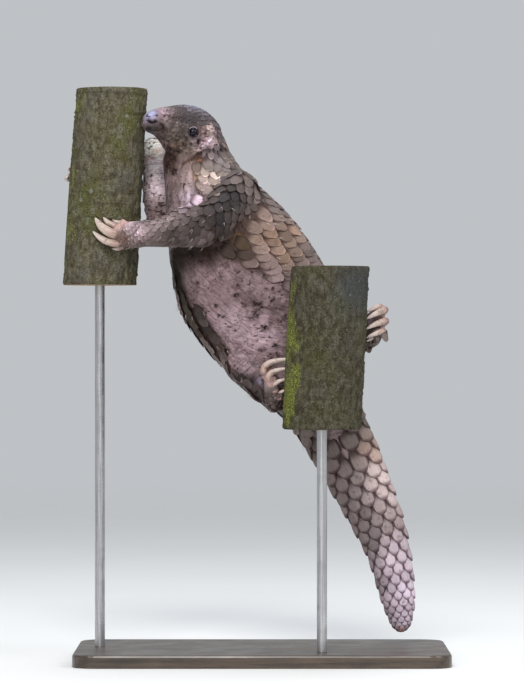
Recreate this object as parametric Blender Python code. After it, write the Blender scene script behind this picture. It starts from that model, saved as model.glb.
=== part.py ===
"""Life-size museum model of a Sunda pangolin that climbs between two upright tree stems.

Metres, +Z up, +Y away from the viewer. The origin is at the centre of the stand's underside.
The animal's hands hold a cut length of one stem and its hind feet a cut length of another.
Each cut length stands on a rod, and both rods stand on one flat base.
The solids follow the outline of the scales' tips.
"""

import math

import bmesh
import bpy
from mathutils import Matrix, Vector

MM = 0.001
# Gap left between solids that meet face to face, and round the head.
GAP = 0.0003
HEAD_GAP = 0.0008

# Stand: a flat base with eased edges, and a rod under each cut stem.
BASE_SIZE = (0.520, 0.280, 0.018)
BASE_CORNER = 0.030
BASE_EDGE = 0.003
ROD_RADIUS = 0.007

# Cut stems: axis at the foot and at the top, and radius at the foot and at the top.
STEM_FORE = {"foot": (-0.2273, 0.010, 0.525), "top": (-0.2106, 0.010, 0.800), "radii": (0.0520, 0.0510)}
STEM_HIND = {"foot": (0.0825, -0.085, 0.325), "top": (0.0935, -0.085, 0.549), "radii": (0.0545, 0.0550)}
STEM_SIDES = 24
STEM_RINGS = 7
STEM_SWELL = 0.0014

# Body from the neck to the tail's tip. Each section gives the belly edge and the back edge as the
# viewer sees them (x, z), then its depth's centre y and its half depth.
BODY_SECTIONS = (
    ((-0.131, 0.716), (-0.056, 0.742), -0.001, 0.022),
    ((-0.139, 0.704), (-0.050, 0.727), 0.001, 0.032),
    ((-0.138, 0.679), (-0.038, 0.703), 0.004, 0.039),
    ((-0.136, 0.652), (-0.019, 0.678), 0.008, 0.050),
    ((-0.134, 0.609), (0.008, 0.655), 0.010, 0.064),
    ((-0.130, 0.557), (0.049, 0.614), 0.014, 0.070),
    ((-0.118, 0.487), (0.090, 0.552), 0.026, 0.070),
    ((-0.083, 0.436), (0.119, 0.487), 0.034, 0.064),
    ((-0.031, 0.381), (0.137, 0.417), 0.040, 0.055),
    ((0.029, 0.336), (0.143, 0.357), 0.038, 0.040),
    ((0.084, 0.252), (0.171, 0.285), 0.034, 0.024),
    ((0.127, 0.181), (0.197, 0.210), 0.030, 0.019),
    ((0.151, 0.132), (0.211, 0.146), 0.026, 0.0155),
    ((0.167, 0.080), (0.216, 0.085), 0.022, 0.0125),
    ((0.183, 0.043), (0.210, 0.047), 0.020, 0.008),
)
BODY_SIDES = 20
BODY_RINGS = 34
TAIL_POINT = 0.009

# Where the body is parted: heights along the sections, counted in sections.
NECK_FOOT_AT = 3.1
TAIL_ROOT_AT = 9.2
TAIL_MIDDLE_AT = 10.7
TAIL_TIP_AT = 12.2

# Head in its own upright plane, which turns about the nape towards the viewer.
HEAD_PIVOT = (-0.060, 0.002, 0.735)
HEAD_TURN = math.radians(14)
# Sections from the nose to the nape: forward distance and height of the upper edge and of the
# lower edge, measured from the pivot, then the half width.
HEAD_SECTIONS = (
    ((0.1085, 0.0235), (0.1085, 0.0080), 0.0080),
    ((0.1045, 0.0295), (0.1040, 0.0030), 0.0120),
    ((0.0950, 0.0345), (0.0940, -0.0010), 0.0145),
    ((0.0770, 0.0393), (0.0830, -0.0140), 0.0190),
    ((0.0540, 0.0435), (0.0730, -0.0290), 0.0250),
    ((0.0310, 0.0405), (0.0500, -0.0410), 0.0300),
    ((0.0110, 0.0288), (0.0260, -0.0450), 0.0320),
    ((-0.0020, 0.0110), (0.0100, -0.0420), 0.0290),
)
HEAD_SIDES = 16
HEAD_RINGS = 13

# Eye: place in the head's plane (forward, up), how far out its centre lies, and its radius.
EYE_PLACE = (0.0436, 0.0018)
EYE_OUT = 0.0255
EYE_RADIUS = 0.0064

# Ear: a low fleshy ridge behind the eye.
EAR_PLACE = (0.0269, -0.0046)
EAR_OUT = 0.0300
EAR_HALF = (0.0040, 0.0030, 0.0155)
EAR_LEAN = math.radians(-17)


def clear_scene():
    for obj in list(bpy.data.objects):
        bpy.data.objects.remove(obj, do_unlink=True)


def make_collection(name):
    collection = bpy.data.collections.new(name)
    bpy.context.scene.collection.children.link(collection)
    return collection


clear_scene()
PARTS = make_collection("pangolin")
CUTTERS = make_collection("cutters")


def make_material(name, color, roughness, metallic=0.0):
    material = bpy.data.materials.new(name)
    material.use_nodes = True
    shader = material.node_tree.nodes["Principled BSDF"]
    shader.inputs["Base Color"].default_value = (*color, 1.0)
    shader.inputs["Roughness"].default_value = roughness
    shader.inputs["Metallic"].default_value = metallic
    return material


MATERIALS = {
    "scales": make_material("scales", (0.25, 0.20, 0.18), 0.55),
    "skin": make_material("skin", (0.42, 0.30, 0.29), 0.70),
    "claw": make_material("claw", (0.66, 0.54, 0.44), 0.35),
    "eye": make_material("eye", (0.010, 0.008, 0.008), 0.05),
    "bark": make_material("bark", (0.20, 0.18, 0.11), 0.90),
    "stand": make_material("stand", (0.035, 0.032, 0.030), 0.45),
    "rod": make_material("rod", (0.30, 0.30, 0.30), 0.35, 1.0),
}


def new_object(name, mesh, material, collection=None):
    obj = bpy.data.objects.new(name, mesh)
    (collection or PARTS).objects.link(obj)
    if material:
        mesh.materials.clear()
        mesh.materials.append(MATERIALS[material])
    return obj


def mesh_from(bm, name):
    bmesh.ops.recalc_face_normals(bm, faces=bm.faces)
    mesh = bpy.data.meshes.new(name)
    bm.to_mesh(mesh)
    bm.free()
    mesh.shade_smooth()
    mesh.set_sharp_from_angle(angle=math.radians(45))
    return mesh


def spline_at(rows, t):
    """Catmull-Rom value of a list of equally long number rows, at t counted in rows."""
    last = len(rows) - 1
    i = min(max(int(math.floor(t)), 0), last - 1)
    u = t - i
    before, a, b, after = (rows[min(max(k, 0), last)] for k in (i - 1, i, i + 1, i + 2))
    return [
        0.5 * (2 * q + (r - p) * u + (2 * p - 5 * q + 4 * r - s) * u * u + (3 * q - p - 3 * r + s) * u**3)
        for p, q, r, s in zip(before, a, b, after)
    ]


def loft(name, rings, end_points=(None, None)):
    """A closed tube through rings of points. An end is a fan to its point, or a flat fan to its middle."""
    bm = bmesh.new()
    loops = [[bm.verts.new(p) for p in ring] for ring in rings]
    sides = len(loops[0])
    for first, second in zip(loops, loops[1:]):
        for k in range(sides):
            n = (k + 1) % sides
            bm.faces.new((first[k], first[n], second[n], second[k]))
    for loop, point in ((loops[0], end_points[0]), (loops[-1], end_points[1])):
        middle = Vector(point) if point else sum((v.co for v in loop), Vector()) / sides
        tip = bm.verts.new(middle)
        for k in range(sides):
            bm.faces.new((loop[k], loop[(k + 1) % sides], tip))
    return mesh_from(bm, name)


def ellipse(centre, across, deep, sides):
    """A ring of points round a centre, on the ellipse with these two half axes."""
    turns = (2 * math.pi * k / sides for k in range(sides))
    return [centre + across * math.cos(a) + deep * math.sin(a) for a in turns]


def body_section(t, grow=0.0):
    """Centre and half axes of the body's section at t."""
    rows = [(*belly, *back, y, deep) for belly, back, y, deep in BODY_SECTIONS]
    xa, za, xb, zb, y, deep = spline_at(rows, t)
    centre = Vector(((xa + xb) / 2, y, (za + zb) / 2))
    across = Vector((xb - xa, 0, zb - za)) / 2
    across *= 1 + grow / across.length
    return centre, across, Vector((0, deep + grow, 0))


def body_mesh(name, grow=0.0):
    last = len(BODY_SECTIONS) - 1
    sections = [body_section(last * k / (BODY_RINGS - 1), grow) for k in range(BODY_RINGS)]
    rings = [ellipse(*section, BODY_SIDES) for section in sections]
    down = (sections[-1][0] - sections[-2][0]).normalized()
    return loft(name, rings, (None, sections[-1][0] + down * (TAIL_POINT + grow)))


def head_frame():
    """Matrix from the head's own axes (forward, to its left, up) to the world."""
    forward = Vector((-math.cos(HEAD_TURN), -math.sin(HEAD_TURN), 0))
    left = Vector((0, 0, 1)).cross(forward)
    frame = Matrix((forward, left, Vector((0, 0, 1)))).transposed().to_4x4()
    return Matrix.Translation(HEAD_PIVOT) @ frame


def head_mesh(name, grow=0.0):
    frame = head_frame()
    rows = [(*upper, *lower, width) for upper, lower, width in HEAD_SECTIONS]
    rings = []
    for k in range(HEAD_RINGS):
        fa, ua, fb, ub, width = spline_at(rows, (len(rows) - 1) * k / (HEAD_RINGS - 1))
        centre = Vector(((fa + fb) / 2, 0, (ua + ub) / 2))
        up = Vector((fa - fb, 0, ua - ub)) / 2
        up *= 1 + grow / up.length
        ring = ellipse(centre, up, Vector((0, width + grow, 0)), HEAD_SIDES)
        rings.append([frame @ p for p in ring])
    rings[-1] = [p - frame.to_3x3() @ Vector((grow, 0, 0)) for p in rings[-1]]
    nose = frame @ Vector((HEAD_SECTIONS[0][0][0] + 0.0035 + grow, 0, 0.0160))
    return loft(name, rings, (nose, None))


# Limbs: each segment lists its joints as centre, thickness direction, half width, half thickness.
DEPTH = (0, 1, 0)
LIMBS = {
    "arm_left_upper": (
        ((-0.030, -0.020, 0.664), DEPTH, 0.030, 0.024),
        ((-0.048, -0.046, 0.636), DEPTH, 0.031, 0.026),
        ((-0.068, -0.062, 0.610), DEPTH, 0.028, 0.026),
    ),
    "arm_left_fore": (
        ((-0.076, -0.064, 0.6065), DEPTH, 0.031, 0.026),
        ((-0.108, -0.068, 0.6035), DEPTH, 0.029, 0.024),
        ((-0.138, -0.067, 0.5965), DEPTH, 0.0215, 0.019),
        ((-0.166, -0.061, 0.5950), DEPTH, 0.0185, 0.015),
    ),
    "hand_left": (
        ((-0.164, -0.0585, 0.5945), DEPTH, 0.0190, 0.0150),
        ((-0.182, -0.0510, 0.5938), DEPTH, 0.0190, 0.0145),
        ((-0.199, -0.0485, 0.5945), DEPTH, 0.0165, 0.0110),
    ),
    "arm_right_upper": (
        ((-0.072, 0.044, 0.652), DEPTH, 0.030, 0.025),
        ((-0.100, 0.060, 0.628), DEPTH, 0.028, 0.025),
        ((-0.128, 0.070, 0.606), DEPTH, 0.025, 0.023),
    ),
    "arm_right_fore": (
        ((-0.135, 0.071, 0.602), DEPTH, 0.0250, 0.0230),
        ((-0.148, 0.074, 0.646), DEPTH, 0.0215, 0.0195),
        ((-0.150, 0.075, 0.688), DEPTH, 0.0200, 0.0170),
        ((-0.149, 0.075, 0.722), DEPTH, 0.0180, 0.0155),
    ),
    "hand_right": (
        ((-0.1535, 0.0750, 0.7220), (-0.2, 1, 0), 0.0165, 0.0145),
        ((-0.1700, 0.0785, 0.7100), (-0.1, 1, 0), 0.0175, 0.0140),
        ((-0.2050, 0.0805, 0.6990), (0, 1, 0), 0.0185, 0.0125),
        ((-0.2380, 0.0700, 0.6950), (-0.4, 1, 0), 0.0165, 0.0105),
    ),
    "leg_left_thigh": (
        ((0.100, 0.052, 0.398), DEPTH, 0.036, 0.034),
        ((0.112, 0.034, 0.428), DEPTH, 0.033, 0.030),
        ((0.121, 0.014, 0.456), DEPTH, 0.027, 0.025),
    ),
    "leg_left_shin": (
        ((0.120, 0.010, 0.458), DEPTH, 0.025, 0.022),
        ((0.121, -0.003, 0.437), DEPTH, 0.023, 0.019),
        ((0.119, -0.013, 0.421), DEPTH, 0.018, 0.015),
    ),
    "foot_left": (
        ((0.1180, -0.0160, 0.421), (-0.8, -0.6, 0), 0.0165, 0.0150),
        ((0.1310, -0.0290, 0.441), (-0.8, -0.6, 0), 0.0175, 0.0140),
        ((0.1550, -0.0430, 0.464), (-0.8, -0.6, 0), 0.0190, 0.0110),
    ),
    "leg_right_thigh": (
        ((0.040, 0.016, 0.388), DEPTH, 0.034, 0.034),
        ((0.000, -0.004, 0.404), DEPTH, 0.030, 0.030),
        ((-0.032, -0.018, 0.413), DEPTH, 0.025, 0.025),
    ),
    "leg_right_shin": (
        ((-0.029, -0.020, 0.410), DEPTH, 0.023, 0.023),
        ((-0.008, -0.030, 0.389), DEPTH, 0.020, 0.020),
        ((0.012, -0.042, 0.370), DEPTH, 0.018, 0.016),
    ),
    "foot_right": (
        ((0.017, -0.044, 0.363), (1, -0.3, 0), 0.0190, 0.0145),
        ((0.0155, -0.056, 0.375), (1, -0.3, 0), 0.0200, 0.0140),
        ((0.0125, -0.066, 0.388), (1, -0.3, 0), 0.0190, 0.0110),
    ),
}
# What each limb segment grows from, and so is cut away from it.
GROWS_FROM = {
    "arm_left_fore": "arm_left_upper",
    "hand_left": "arm_left_fore",
    "arm_right_fore": "arm_right_upper",
    "hand_right": "arm_right_fore",
    "leg_left_shin": "leg_left_thigh",
    "foot_left": "leg_left_shin",
    "leg_right_shin": "leg_right_thigh",
    "foot_right": "leg_right_shin",
}

# Digits, in millimetres: toe root, knuckle, claw tip, toe radius, claw radius, bow of the claw.
DIGITS = {
    "hand_left": (
        ((-182, -50, 604), (-193, -48, 611), (-207.5, -43.5, 614.5), 5.5, 2.8, 2),
        ((-188, -52, 602), (-202, -51.5, 606), (-220, -42.8, 618), 5.2, 3.6, 3),
        ((-190, -52, 595), (-201, -55, 593.5), (-231.5, -42.5, 617.5), 6.8, 5.6, 7),
        ((-188, -50, 588), (-197, -51.5, 581.5), (-234.5, -42, 598.5), 6.0, 4.4, 7),
        ((-184, -46, 584), (-192, -44, 579), (-208, -39, 575), 5.0, 2.8, 2),
    ),
    "hand_right": (
        ((-212, 79, 714), (-229, 74, 717), (-244, 60, 716), 5.6, 3.0, 3),
        ((-228, 75, 704), (-249, 64, 702), (-271.5, 20, 690), 5.4, 4.0, 9),
        ((-230, 75, 696), (-252, 63, 692), (-273, 10, 677), 7.0, 5.4, 11),
        ((-230, 75, 688), (-247, 66, 682), (-268, 32, 667), 5.8, 4.4, 8),
        ((-214, 79, 686), (-232, 74, 677), (-248, 59, 669), 5.0, 2.8, 3),
    ),
    "foot_left": (
        ((148, -39, 480), (164, -46, 493.5), (145, -60, 487), 5.5, 3.6, 4),
        ((156, -43, 474), (170, -50, 489), (144, -64, 477), 6.4, 4.8, 5),
        ((158, -44, 464), (171, -51, 473.5), (143.5, -64, 463), 6.4, 4.6, 5),
        ((156, -44, 452), (168, -51, 459), (144, -64, 451), 6.0, 4.0, 5),
        ((146, -40, 449), (156, -47, 452), (145, -59, 446), 5.0, 2.8, 3),
    ),
    "foot_right": (
        ((10, -58, 392), (8.5, -58, 407), (38, -60, 416), 5.2, 2.8, 5),
        ((10, -64, 390), (4.5, -69, 399), (39, -66, 421.5), 6.6, 5.0, 11),
        ((12, -68, 384), (10, -74, 388.5), (37, -73, 408.5), 6.6, 4.8, 8),
        ((18, -68, 376), (18.5, -76, 378), (35, -78, 394), 5.8, 3.8, 5),
        ((22, -66, 368), (25, -73, 368), (34, -80, 379), 4.8, 2.6, 3),
    ),
}
STEM_OF = {"hand_left": "fore", "hand_right": "fore", "foot_left": "hind", "foot_right": "hind"}
CLAW_TIP_RADIUS = 0.0007


def limb_mesh(name, joints, sides=12, rings_each=2, grow=0.0):
    """A limb segment through its joints, with round ends.

    The width lies across both the limb and the given thickness direction.
    """
    rows = [(*centre, *thick, wide, deep) for centre, thick, wide, deep in joints]
    count = (len(rows) - 1) * rings_each + 1
    found = [spline_at(rows, k / rings_each) for k in range(count)]
    rings, alongs = [], []
    for k, row in enumerate(found):
        centre = Vector(row[0:3])
        after = Vector(found[min(k + 1, count - 1)][0:3])
        before = Vector(found[max(k - 1, 0)][0:3])
        along = (after - before).normalized()
        thick = Vector(row[3:6])
        thick = (thick - along * thick.dot(along)).normalized()
        wide = along.cross(thick)
        rings.append((centre, wide * (row[6] + grow), thick * (row[7] + grow)))
        alongs.append(along)

    def cap(ring, outward):
        centre, wide, thick = ring
        reach = (wide.length + thick.length) / 2 * 0.8
        turns = (math.radians(35), math.radians(65))
        round_rings = [
            (centre + outward * reach * math.sin(a), wide * math.cos(a), thick * math.cos(a)) for a in turns
        ]
        return round_rings, centre + outward * reach

    start, start_tip = cap(rings[0], -alongs[0])
    end, end_tip = cap(rings[-1], alongs[-1])
    every = start[::-1] + rings + end
    return loft(name, [ellipse(*ring, sides) for ring in every], (start_tip, end_tip))


def capsule(name, a, b, radius, sides=7):
    """A short round rod with round ends from a to b."""
    a, b = Vector(a), Vector(b)
    along = (b - a).normalized()
    side = along.orthogonal().normalized()
    other = along.cross(side)
    steps = [(a, -60), (a, -25), (b, 25), (b, 60)]
    rings = []
    for centre, degrees in steps:
        turn = math.radians(degrees)
        out = radius * math.cos(turn)
        rings.append(ellipse(centre + along * radius * math.sin(turn), side * out, other * out, sides))
    return loft(name, rings, (a - along * radius, b + along * radius))


def claw_mesh(name, start, end, radius, bow, axis_point, sides=6, steps=6):
    """A claw that leaves its toe, bows away from the stem's axis and comes back to its tip."""
    outward = (start + end) / 2 - axis_point
    outward.normalize()
    middle = (start + end) / 2 + outward * bow * 2
    rings = []
    for k in range(steps):
        t = k / (steps - 1)
        centre = start * (1 - t) ** 2 + middle * 2 * t * (1 - t) + end * t * t
        along = ((middle - start) * (1 - t) + (end - middle) * t).normalized()
        side = along.cross(outward).normalized()
        deep = side.cross(along).normalized()
        size = CLAW_TIP_RADIUS + (radius - CLAW_TIP_RADIUS) * (1 - t**1.7)
        rings.append(ellipse(centre, side * size, deep * size * 0.85, sides))
    return loft(name, rings)


def stem_axis(stem, z):
    """The point on the stem's axis at height z."""
    foot, top = Vector(stem["foot"]), Vector(stem["top"])
    return foot.lerp(top, (z - foot.z) / (top.z - foot.z))


def stem_mesh(name, stem, grow=0.0):
    """A cut length of stem, slightly uneven as bark is, with flat sawn ends."""
    foot, top = Vector(stem["foot"]), Vector(stem["top"])
    rings = []
    for k in range(STEM_RINGS):
        t = k / (STEM_RINGS - 1)
        radius = stem["radii"][0] * (1 - t) + stem["radii"][1] * t + grow
        ring = []
        for n in range(STEM_SIDES):
            a = 2 * math.pi * n / STEM_SIDES
            swell = STEM_SWELL * (math.sin(2 * a + 5 * t) + math.sin(3 * a - 4 * t)) / 2
            ring.append(foot.lerp(top, t) + Vector((math.cos(a), math.sin(a), 0)) * (radius + swell))
        rings.append(ring)
    if grow:
        lift = Vector((0, 0, grow))
        rings[0] = [p - lift for p in rings[0]]
        rings[-1] = [p + lift for p in rings[-1]]
    return loft(name, rings)


def cutter(mesh):
    obj = new_object(mesh.name, mesh, None, CUTTERS)
    obj.hide_render = True
    obj.display_type = "WIRE"
    return obj


def boolean(obj, other, operation="DIFFERENCE"):
    modifier = obj.modifiers.new(other.name, "BOOLEAN")
    modifier.operation = operation
    modifier.object = other


def sliced(mesh, name, planes):
    """The part of a mesh behind every plane, given as (point, normal), with flat caps."""
    bm = bmesh.new()
    bm.from_mesh(mesh)
    for point, normal in planes:
        geometry = bm.verts[:] + bm.edges[:] + bm.faces[:]
        cut = bmesh.ops.bisect_plane(
            bm, geom=geometry, plane_co=point, plane_no=normal, clear_outer=True, dist=1e-7
        )
        rim = [item for item in cut["geom_cut"] if isinstance(item, bmesh.types.BMEdge)]
        bmesh.ops.edgeloop_fill(bm, edges=rim)
    bmesh.ops.triangulate(bm, faces=[f for f in bm.faces if len(f.verts) > 4])
    return mesh_from(bm, name)


def body_plane(t):
    """A plane across the body at section t: its point and its normal down the body."""
    centre, across, _ = body_section(t)
    normal = Vector((across.z, 0, -across.x)).normalized()
    return centre, normal


def build_body():
    """Neck, trunk and tail: one smooth form, parted across at flat seams."""
    whole = body_mesh("body_whole")
    names = ("neck", "trunk", "tail_base", "tail_middle", "tail_tip")
    seams = [body_plane(t) for t in (NECK_FOOT_AT, TAIL_ROOT_AT, TAIL_MIDDLE_AT, TAIL_TIP_AT)]
    for k, name in enumerate(names):
        planes = []
        if k > 0:
            point, normal = seams[k - 1]
            planes.append((point + normal * GAP / 2, -normal))
        if k < len(seams):
            point, normal = seams[k]
            planes.append((point - normal * GAP / 2, normal))
        obj = new_object(name, sliced(whole, name, planes), "scales")
        if name == "neck":
            boolean(obj, cutter(head_mesh("head_room", HEAD_GAP)))
    bpy.data.meshes.remove(whole)


def ball_mesh(name, centre, radius):
    bm = bmesh.new()
    bmesh.ops.create_uvsphere(bm, u_segments=14, v_segments=8, radius=radius)
    bmesh.ops.translate(bm, verts=bm.verts, vec=centre)
    return mesh_from(bm, name)


def build_head():
    frame = head_frame()
    head = new_object("head", head_mesh("head"), "skin")
    for side, sign in (("left", 1), ("right", -1)):
        centre = Vector((EYE_PLACE[0], sign * EYE_OUT, EYE_PLACE[1]))
        new_object(f"eye_{side}", ball_mesh(f"eye_{side}", frame @ centre, EYE_RADIUS), "eye")
        boolean(head, cutter(ball_mesh(f"eye_{side}_room", frame @ centre, EYE_RADIUS + GAP)))
        build_ear(side, sign, frame)


def build_ear(side, sign, frame):
    """A thin upright ridge on the side of the head, cut where it meets the head."""
    bm = bmesh.new()
    bmesh.ops.create_uvsphere(bm, u_segments=12, v_segments=8, radius=1)
    bmesh.ops.scale(bm, verts=bm.verts, vec=EAR_HALF)
    bmesh.ops.rotate(bm, verts=bm.verts, cent=(0, 0, 0), matrix=Matrix.Rotation(EAR_LEAN, 3, "Y"))
    bmesh.ops.translate(bm, verts=bm.verts, vec=(EAR_PLACE[0], sign * EAR_OUT, EAR_PLACE[1]))
    bmesh.ops.transform(bm, verts=bm.verts, matrix=frame)
    ear = new_object(f"ear_{side}", mesh_from(bm, f"ear_{side}"), "skin")
    boolean(ear, cutter(head_mesh(f"ear_{side}_room", GAP)))
    boolean(ear, cutter(body_mesh(f"ear_{side}_body_room", GAP)))


def build_limbs():
    body_room = cutter(body_mesh("body_room", GAP))
    stem_rooms = {
        "fore": cutter(stem_mesh("stem_fore_room", STEM_FORE, GAP)),
        "hind": cutter(stem_mesh("stem_hind_room", STEM_HIND, GAP)),
    }
    rooms = {}
    for name, joints in LIMBS.items():
        obj = new_object(name, limb_mesh(name, joints), "scales")
        boolean(obj, body_room)
        parent = GROWS_FROM.get(name)
        if parent:
            boolean(obj, rooms[parent])
        rooms[name] = cutter(limb_mesh(f"{name}_room", joints, grow=GAP))
        if name in DIGITS:
            build_digits(name, obj, rooms, stem_rooms[STEM_OF[name]])


def build_digits(foot_name, foot, rooms, stem_room):
    """Toes that join the foot, and claws that leave them, all kept clear of the stem."""
    stem = STEM_FORE if STEM_OF[foot_name] == "fore" else STEM_HIND
    toe_rooms = []
    for k, (root, knuckle, _, toe_radius, _, _) in enumerate(DIGITS[foot_name], start=1):
        ends = (Vector(root) * MM, Vector(knuckle) * MM)
        toe = capsule(f"{foot_name}_toe_{k}", *ends, toe_radius * MM)
        room = capsule(f"{foot_name}_toe_{k}_room", *ends, toe_radius * MM + GAP)
        boolean(foot, cutter(toe), "UNION")
        toe_rooms.append(cutter(room))
    boolean(foot, stem_room)
    for k, (_, knuckle, tip, _, claw_radius, bow) in enumerate(DIGITS[foot_name], start=1):
        start, end = Vector(knuckle) * MM, Vector(tip) * MM
        axis = stem_axis(stem, (start.z + end.z) / 2)
        name = f"claw_{foot_name}_{k}"
        claw = new_object(name, claw_mesh(name, start, end, claw_radius * MM, bow * MM, axis), "claw")
        for room in (rooms[foot_name], *toe_rooms, stem_room):
            boolean(claw, room)


def build_stems():
    for name, stem in (("perch_fore", STEM_FORE), ("perch_hind", STEM_HIND)):
        new_object(name, stem_mesh(name, stem), "bark")


def build_stand():
    width, depth, height = BASE_SIZE
    outline = []
    for cx, cy, first in ((1, 1, 0), (-1, 1, 90), (-1, -1, 180), (1, -1, 270)):
        for step in range(7):
            a = math.radians(first + step * 15)
            x = cx * (width / 2 - BASE_CORNER) + BASE_CORNER * math.cos(a)
            y = cy * (depth / 2 - BASE_CORNER) + BASE_CORNER * math.sin(a)
            outline.append((x, y))
    ease = BASE_EDGE * 0.3
    levels = ((0, 0), (height - BASE_EDGE, 0), (height - ease, ease), (height, BASE_EDGE))
    rings = []
    for z, inset in levels:
        kx, ky = 1 - 2 * inset / width, 1 - 2 * inset / depth
        rings.append([(x * kx, y * ky, z) for x, y in outline])
    new_object("stand_base", loft("stand_base", rings), "stand")
    for name, stem in (("stand_rod_fore", STEM_FORE), ("stand_rod_hind", STEM_HIND)):
        x, y, z = stem["foot"]
        low, high = height + GAP, z - GAP
        bm = bmesh.new()
        bmesh.ops.create_cone(
            bm, cap_ends=True, segments=24, radius1=ROD_RADIUS, radius2=ROD_RADIUS, depth=high - low
        )
        bmesh.ops.translate(bm, verts=bm.verts, vec=(x, y, (low + high) / 2))
        new_object(name, mesh_from(bm, name), "rod")


def main():
    build_body()
    build_head()
    build_limbs()
    build_stems()
    build_stand()


main()
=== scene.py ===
"""Looks of the life-size pangolin: one skin, its scales, claws, eyes, the two cut stems and the stand."""

import math
from dataclasses import dataclass

import bmesh
import bpy
import numpy as np
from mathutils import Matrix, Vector
from mathutils.bvhtree import BVHTree


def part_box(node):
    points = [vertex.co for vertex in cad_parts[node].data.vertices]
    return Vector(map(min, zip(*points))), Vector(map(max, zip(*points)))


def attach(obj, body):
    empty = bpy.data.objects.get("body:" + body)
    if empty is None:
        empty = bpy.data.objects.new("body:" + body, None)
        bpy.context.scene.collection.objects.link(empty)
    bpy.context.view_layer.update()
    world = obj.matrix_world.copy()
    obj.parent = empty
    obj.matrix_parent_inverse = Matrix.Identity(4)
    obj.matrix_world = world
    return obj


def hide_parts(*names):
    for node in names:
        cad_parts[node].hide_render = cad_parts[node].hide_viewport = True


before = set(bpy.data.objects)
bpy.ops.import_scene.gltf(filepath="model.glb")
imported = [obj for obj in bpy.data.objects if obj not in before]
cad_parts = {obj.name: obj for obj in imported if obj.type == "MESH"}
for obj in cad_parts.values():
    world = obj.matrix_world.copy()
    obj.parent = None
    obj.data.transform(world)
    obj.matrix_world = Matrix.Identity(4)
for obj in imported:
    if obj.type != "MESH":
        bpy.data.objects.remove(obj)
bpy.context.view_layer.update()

MM = 0.001
RANDOM = np.random.default_rng(11)

# Photograph's frame: 524 x 700 pixels, seen level from 5 m, 1.4 mm to a pixel at the animal's middle.
VIEWPOINT = np.array((0.0, -5.0, 0.434))
PIXEL = 0.0014
PICTURE_MIDDLE = (262, 350)
PICTURE_HEIGHT = 700

# Skin: size of its mesh cells, and how far each solid is swollen so that neighbours overlap.
CELL = 0.00125
OVERLAP = 0.0005


# Small numpy helpers.
def unit(v):
    return v / np.maximum(np.linalg.norm(v, axis=-1, keepdims=True), 1e-12)


def ease(x, low, high):
    """0 below low, 1 above high and smooth between; low may be the greater."""
    t = np.clip((x - low) / (high - low), 0, 1)
    return t * t * (3 - 2 * t)


def linear(r, g, b):
    """Linear colour from 0 to 255 display values."""
    c = np.array((r, g, b)) / 255
    return np.where(c <= 0.04045, c / 12.92, ((c + 0.055) / 1.055) ** 2.4)


def bell(x, middle, width):
    """1 at the middle, falling off smoothly over the width on either side."""
    return np.exp(-(((x - middle) / width) ** 2))


def between(pair, t):
    """From the pair's first number at t = 0 to its second at t = 1."""
    return pair[0] * (1 - t) + pair[1] * t


def about(points, place, radius):
    """A soft patch about a place: 1 there, falling off over the radius."""
    return bell(np.linalg.norm(points - place, axis=1), 0, radius)


def blended(colour, display, share):
    """Linear colours drawn towards a display colour, by a share for each."""
    return colour + (linear(*display) - colour) * share[:, None]


def ring_faces(rows, sides, first=0):
    """Faces between rows of points, each row a closed ring of the same number of points."""
    return [
        (row + n, row + (n + 1) % sides, row + sides + (n + 1) % sides, row + sides + n)
        for row in range(first, first + (rows - 1) * sides, sides)
        for n in range(sides)
    ]


def lumps(points, size, seed=0):
    """Smooth noise from -1 to 1. Size is one lump, a number or one for each axis."""
    q = np.asarray(points) / size
    cell = np.floor(q).astype(np.int64)
    f = q - cell
    f = f * f * (3 - 2 * f)
    total = np.zeros(len(q))
    for corner in np.ndindex(2, 2, 2):
        c = cell + corner
        h = (c[:, 0] * 73856093) ^ (c[:, 1] * 19349663) ^ (c[:, 2] * 83492791) ^ (seed * 26544357)
        h = (h ^ (h >> 13)) * 1274126177
        h = ((h ^ (h >> 16)) & 0xFFFF) / 0xFFFF
        total += h * np.prod(np.where(corner, f, 1 - f), axis=1)
    return total * 2 - 1


def layered(points, size, seed=0, layers=3):
    return sum(lumps(points, size / 2**k, seed + k) * 0.55**k for k in range(layers))


def to_line(points, line):
    """Distance of each point to a line of straight pieces."""
    best = np.full(len(points), 1e9)
    for a, b in zip(line, line[1:]):
        t = np.clip(((points - a) @ (b - a)) / max((b - a) @ (b - a), 1e-12), 0, 1)
        best = np.minimum(best, np.linalg.norm(points - a - t[:, None] * (b - a), axis=1))
    return best


def spline(rows, t):
    """Catmull-Rom value of number rows at t, counted in rows."""
    rows = np.asarray(rows, float)
    last = len(rows) - 1
    i = min(max(int(math.floor(t)), 0), last - 1)
    u = t - i
    p, q, r, s = (rows[min(max(k, 0), last)] for k in (i - 1, i, i + 1, i + 2))
    return 0.5 * (2 * q + (r - p) * u + (2 * p - 5 * q + 4 * r - s) * u * u + (3 * q - p - 3 * r + s) * u**3)


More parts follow.
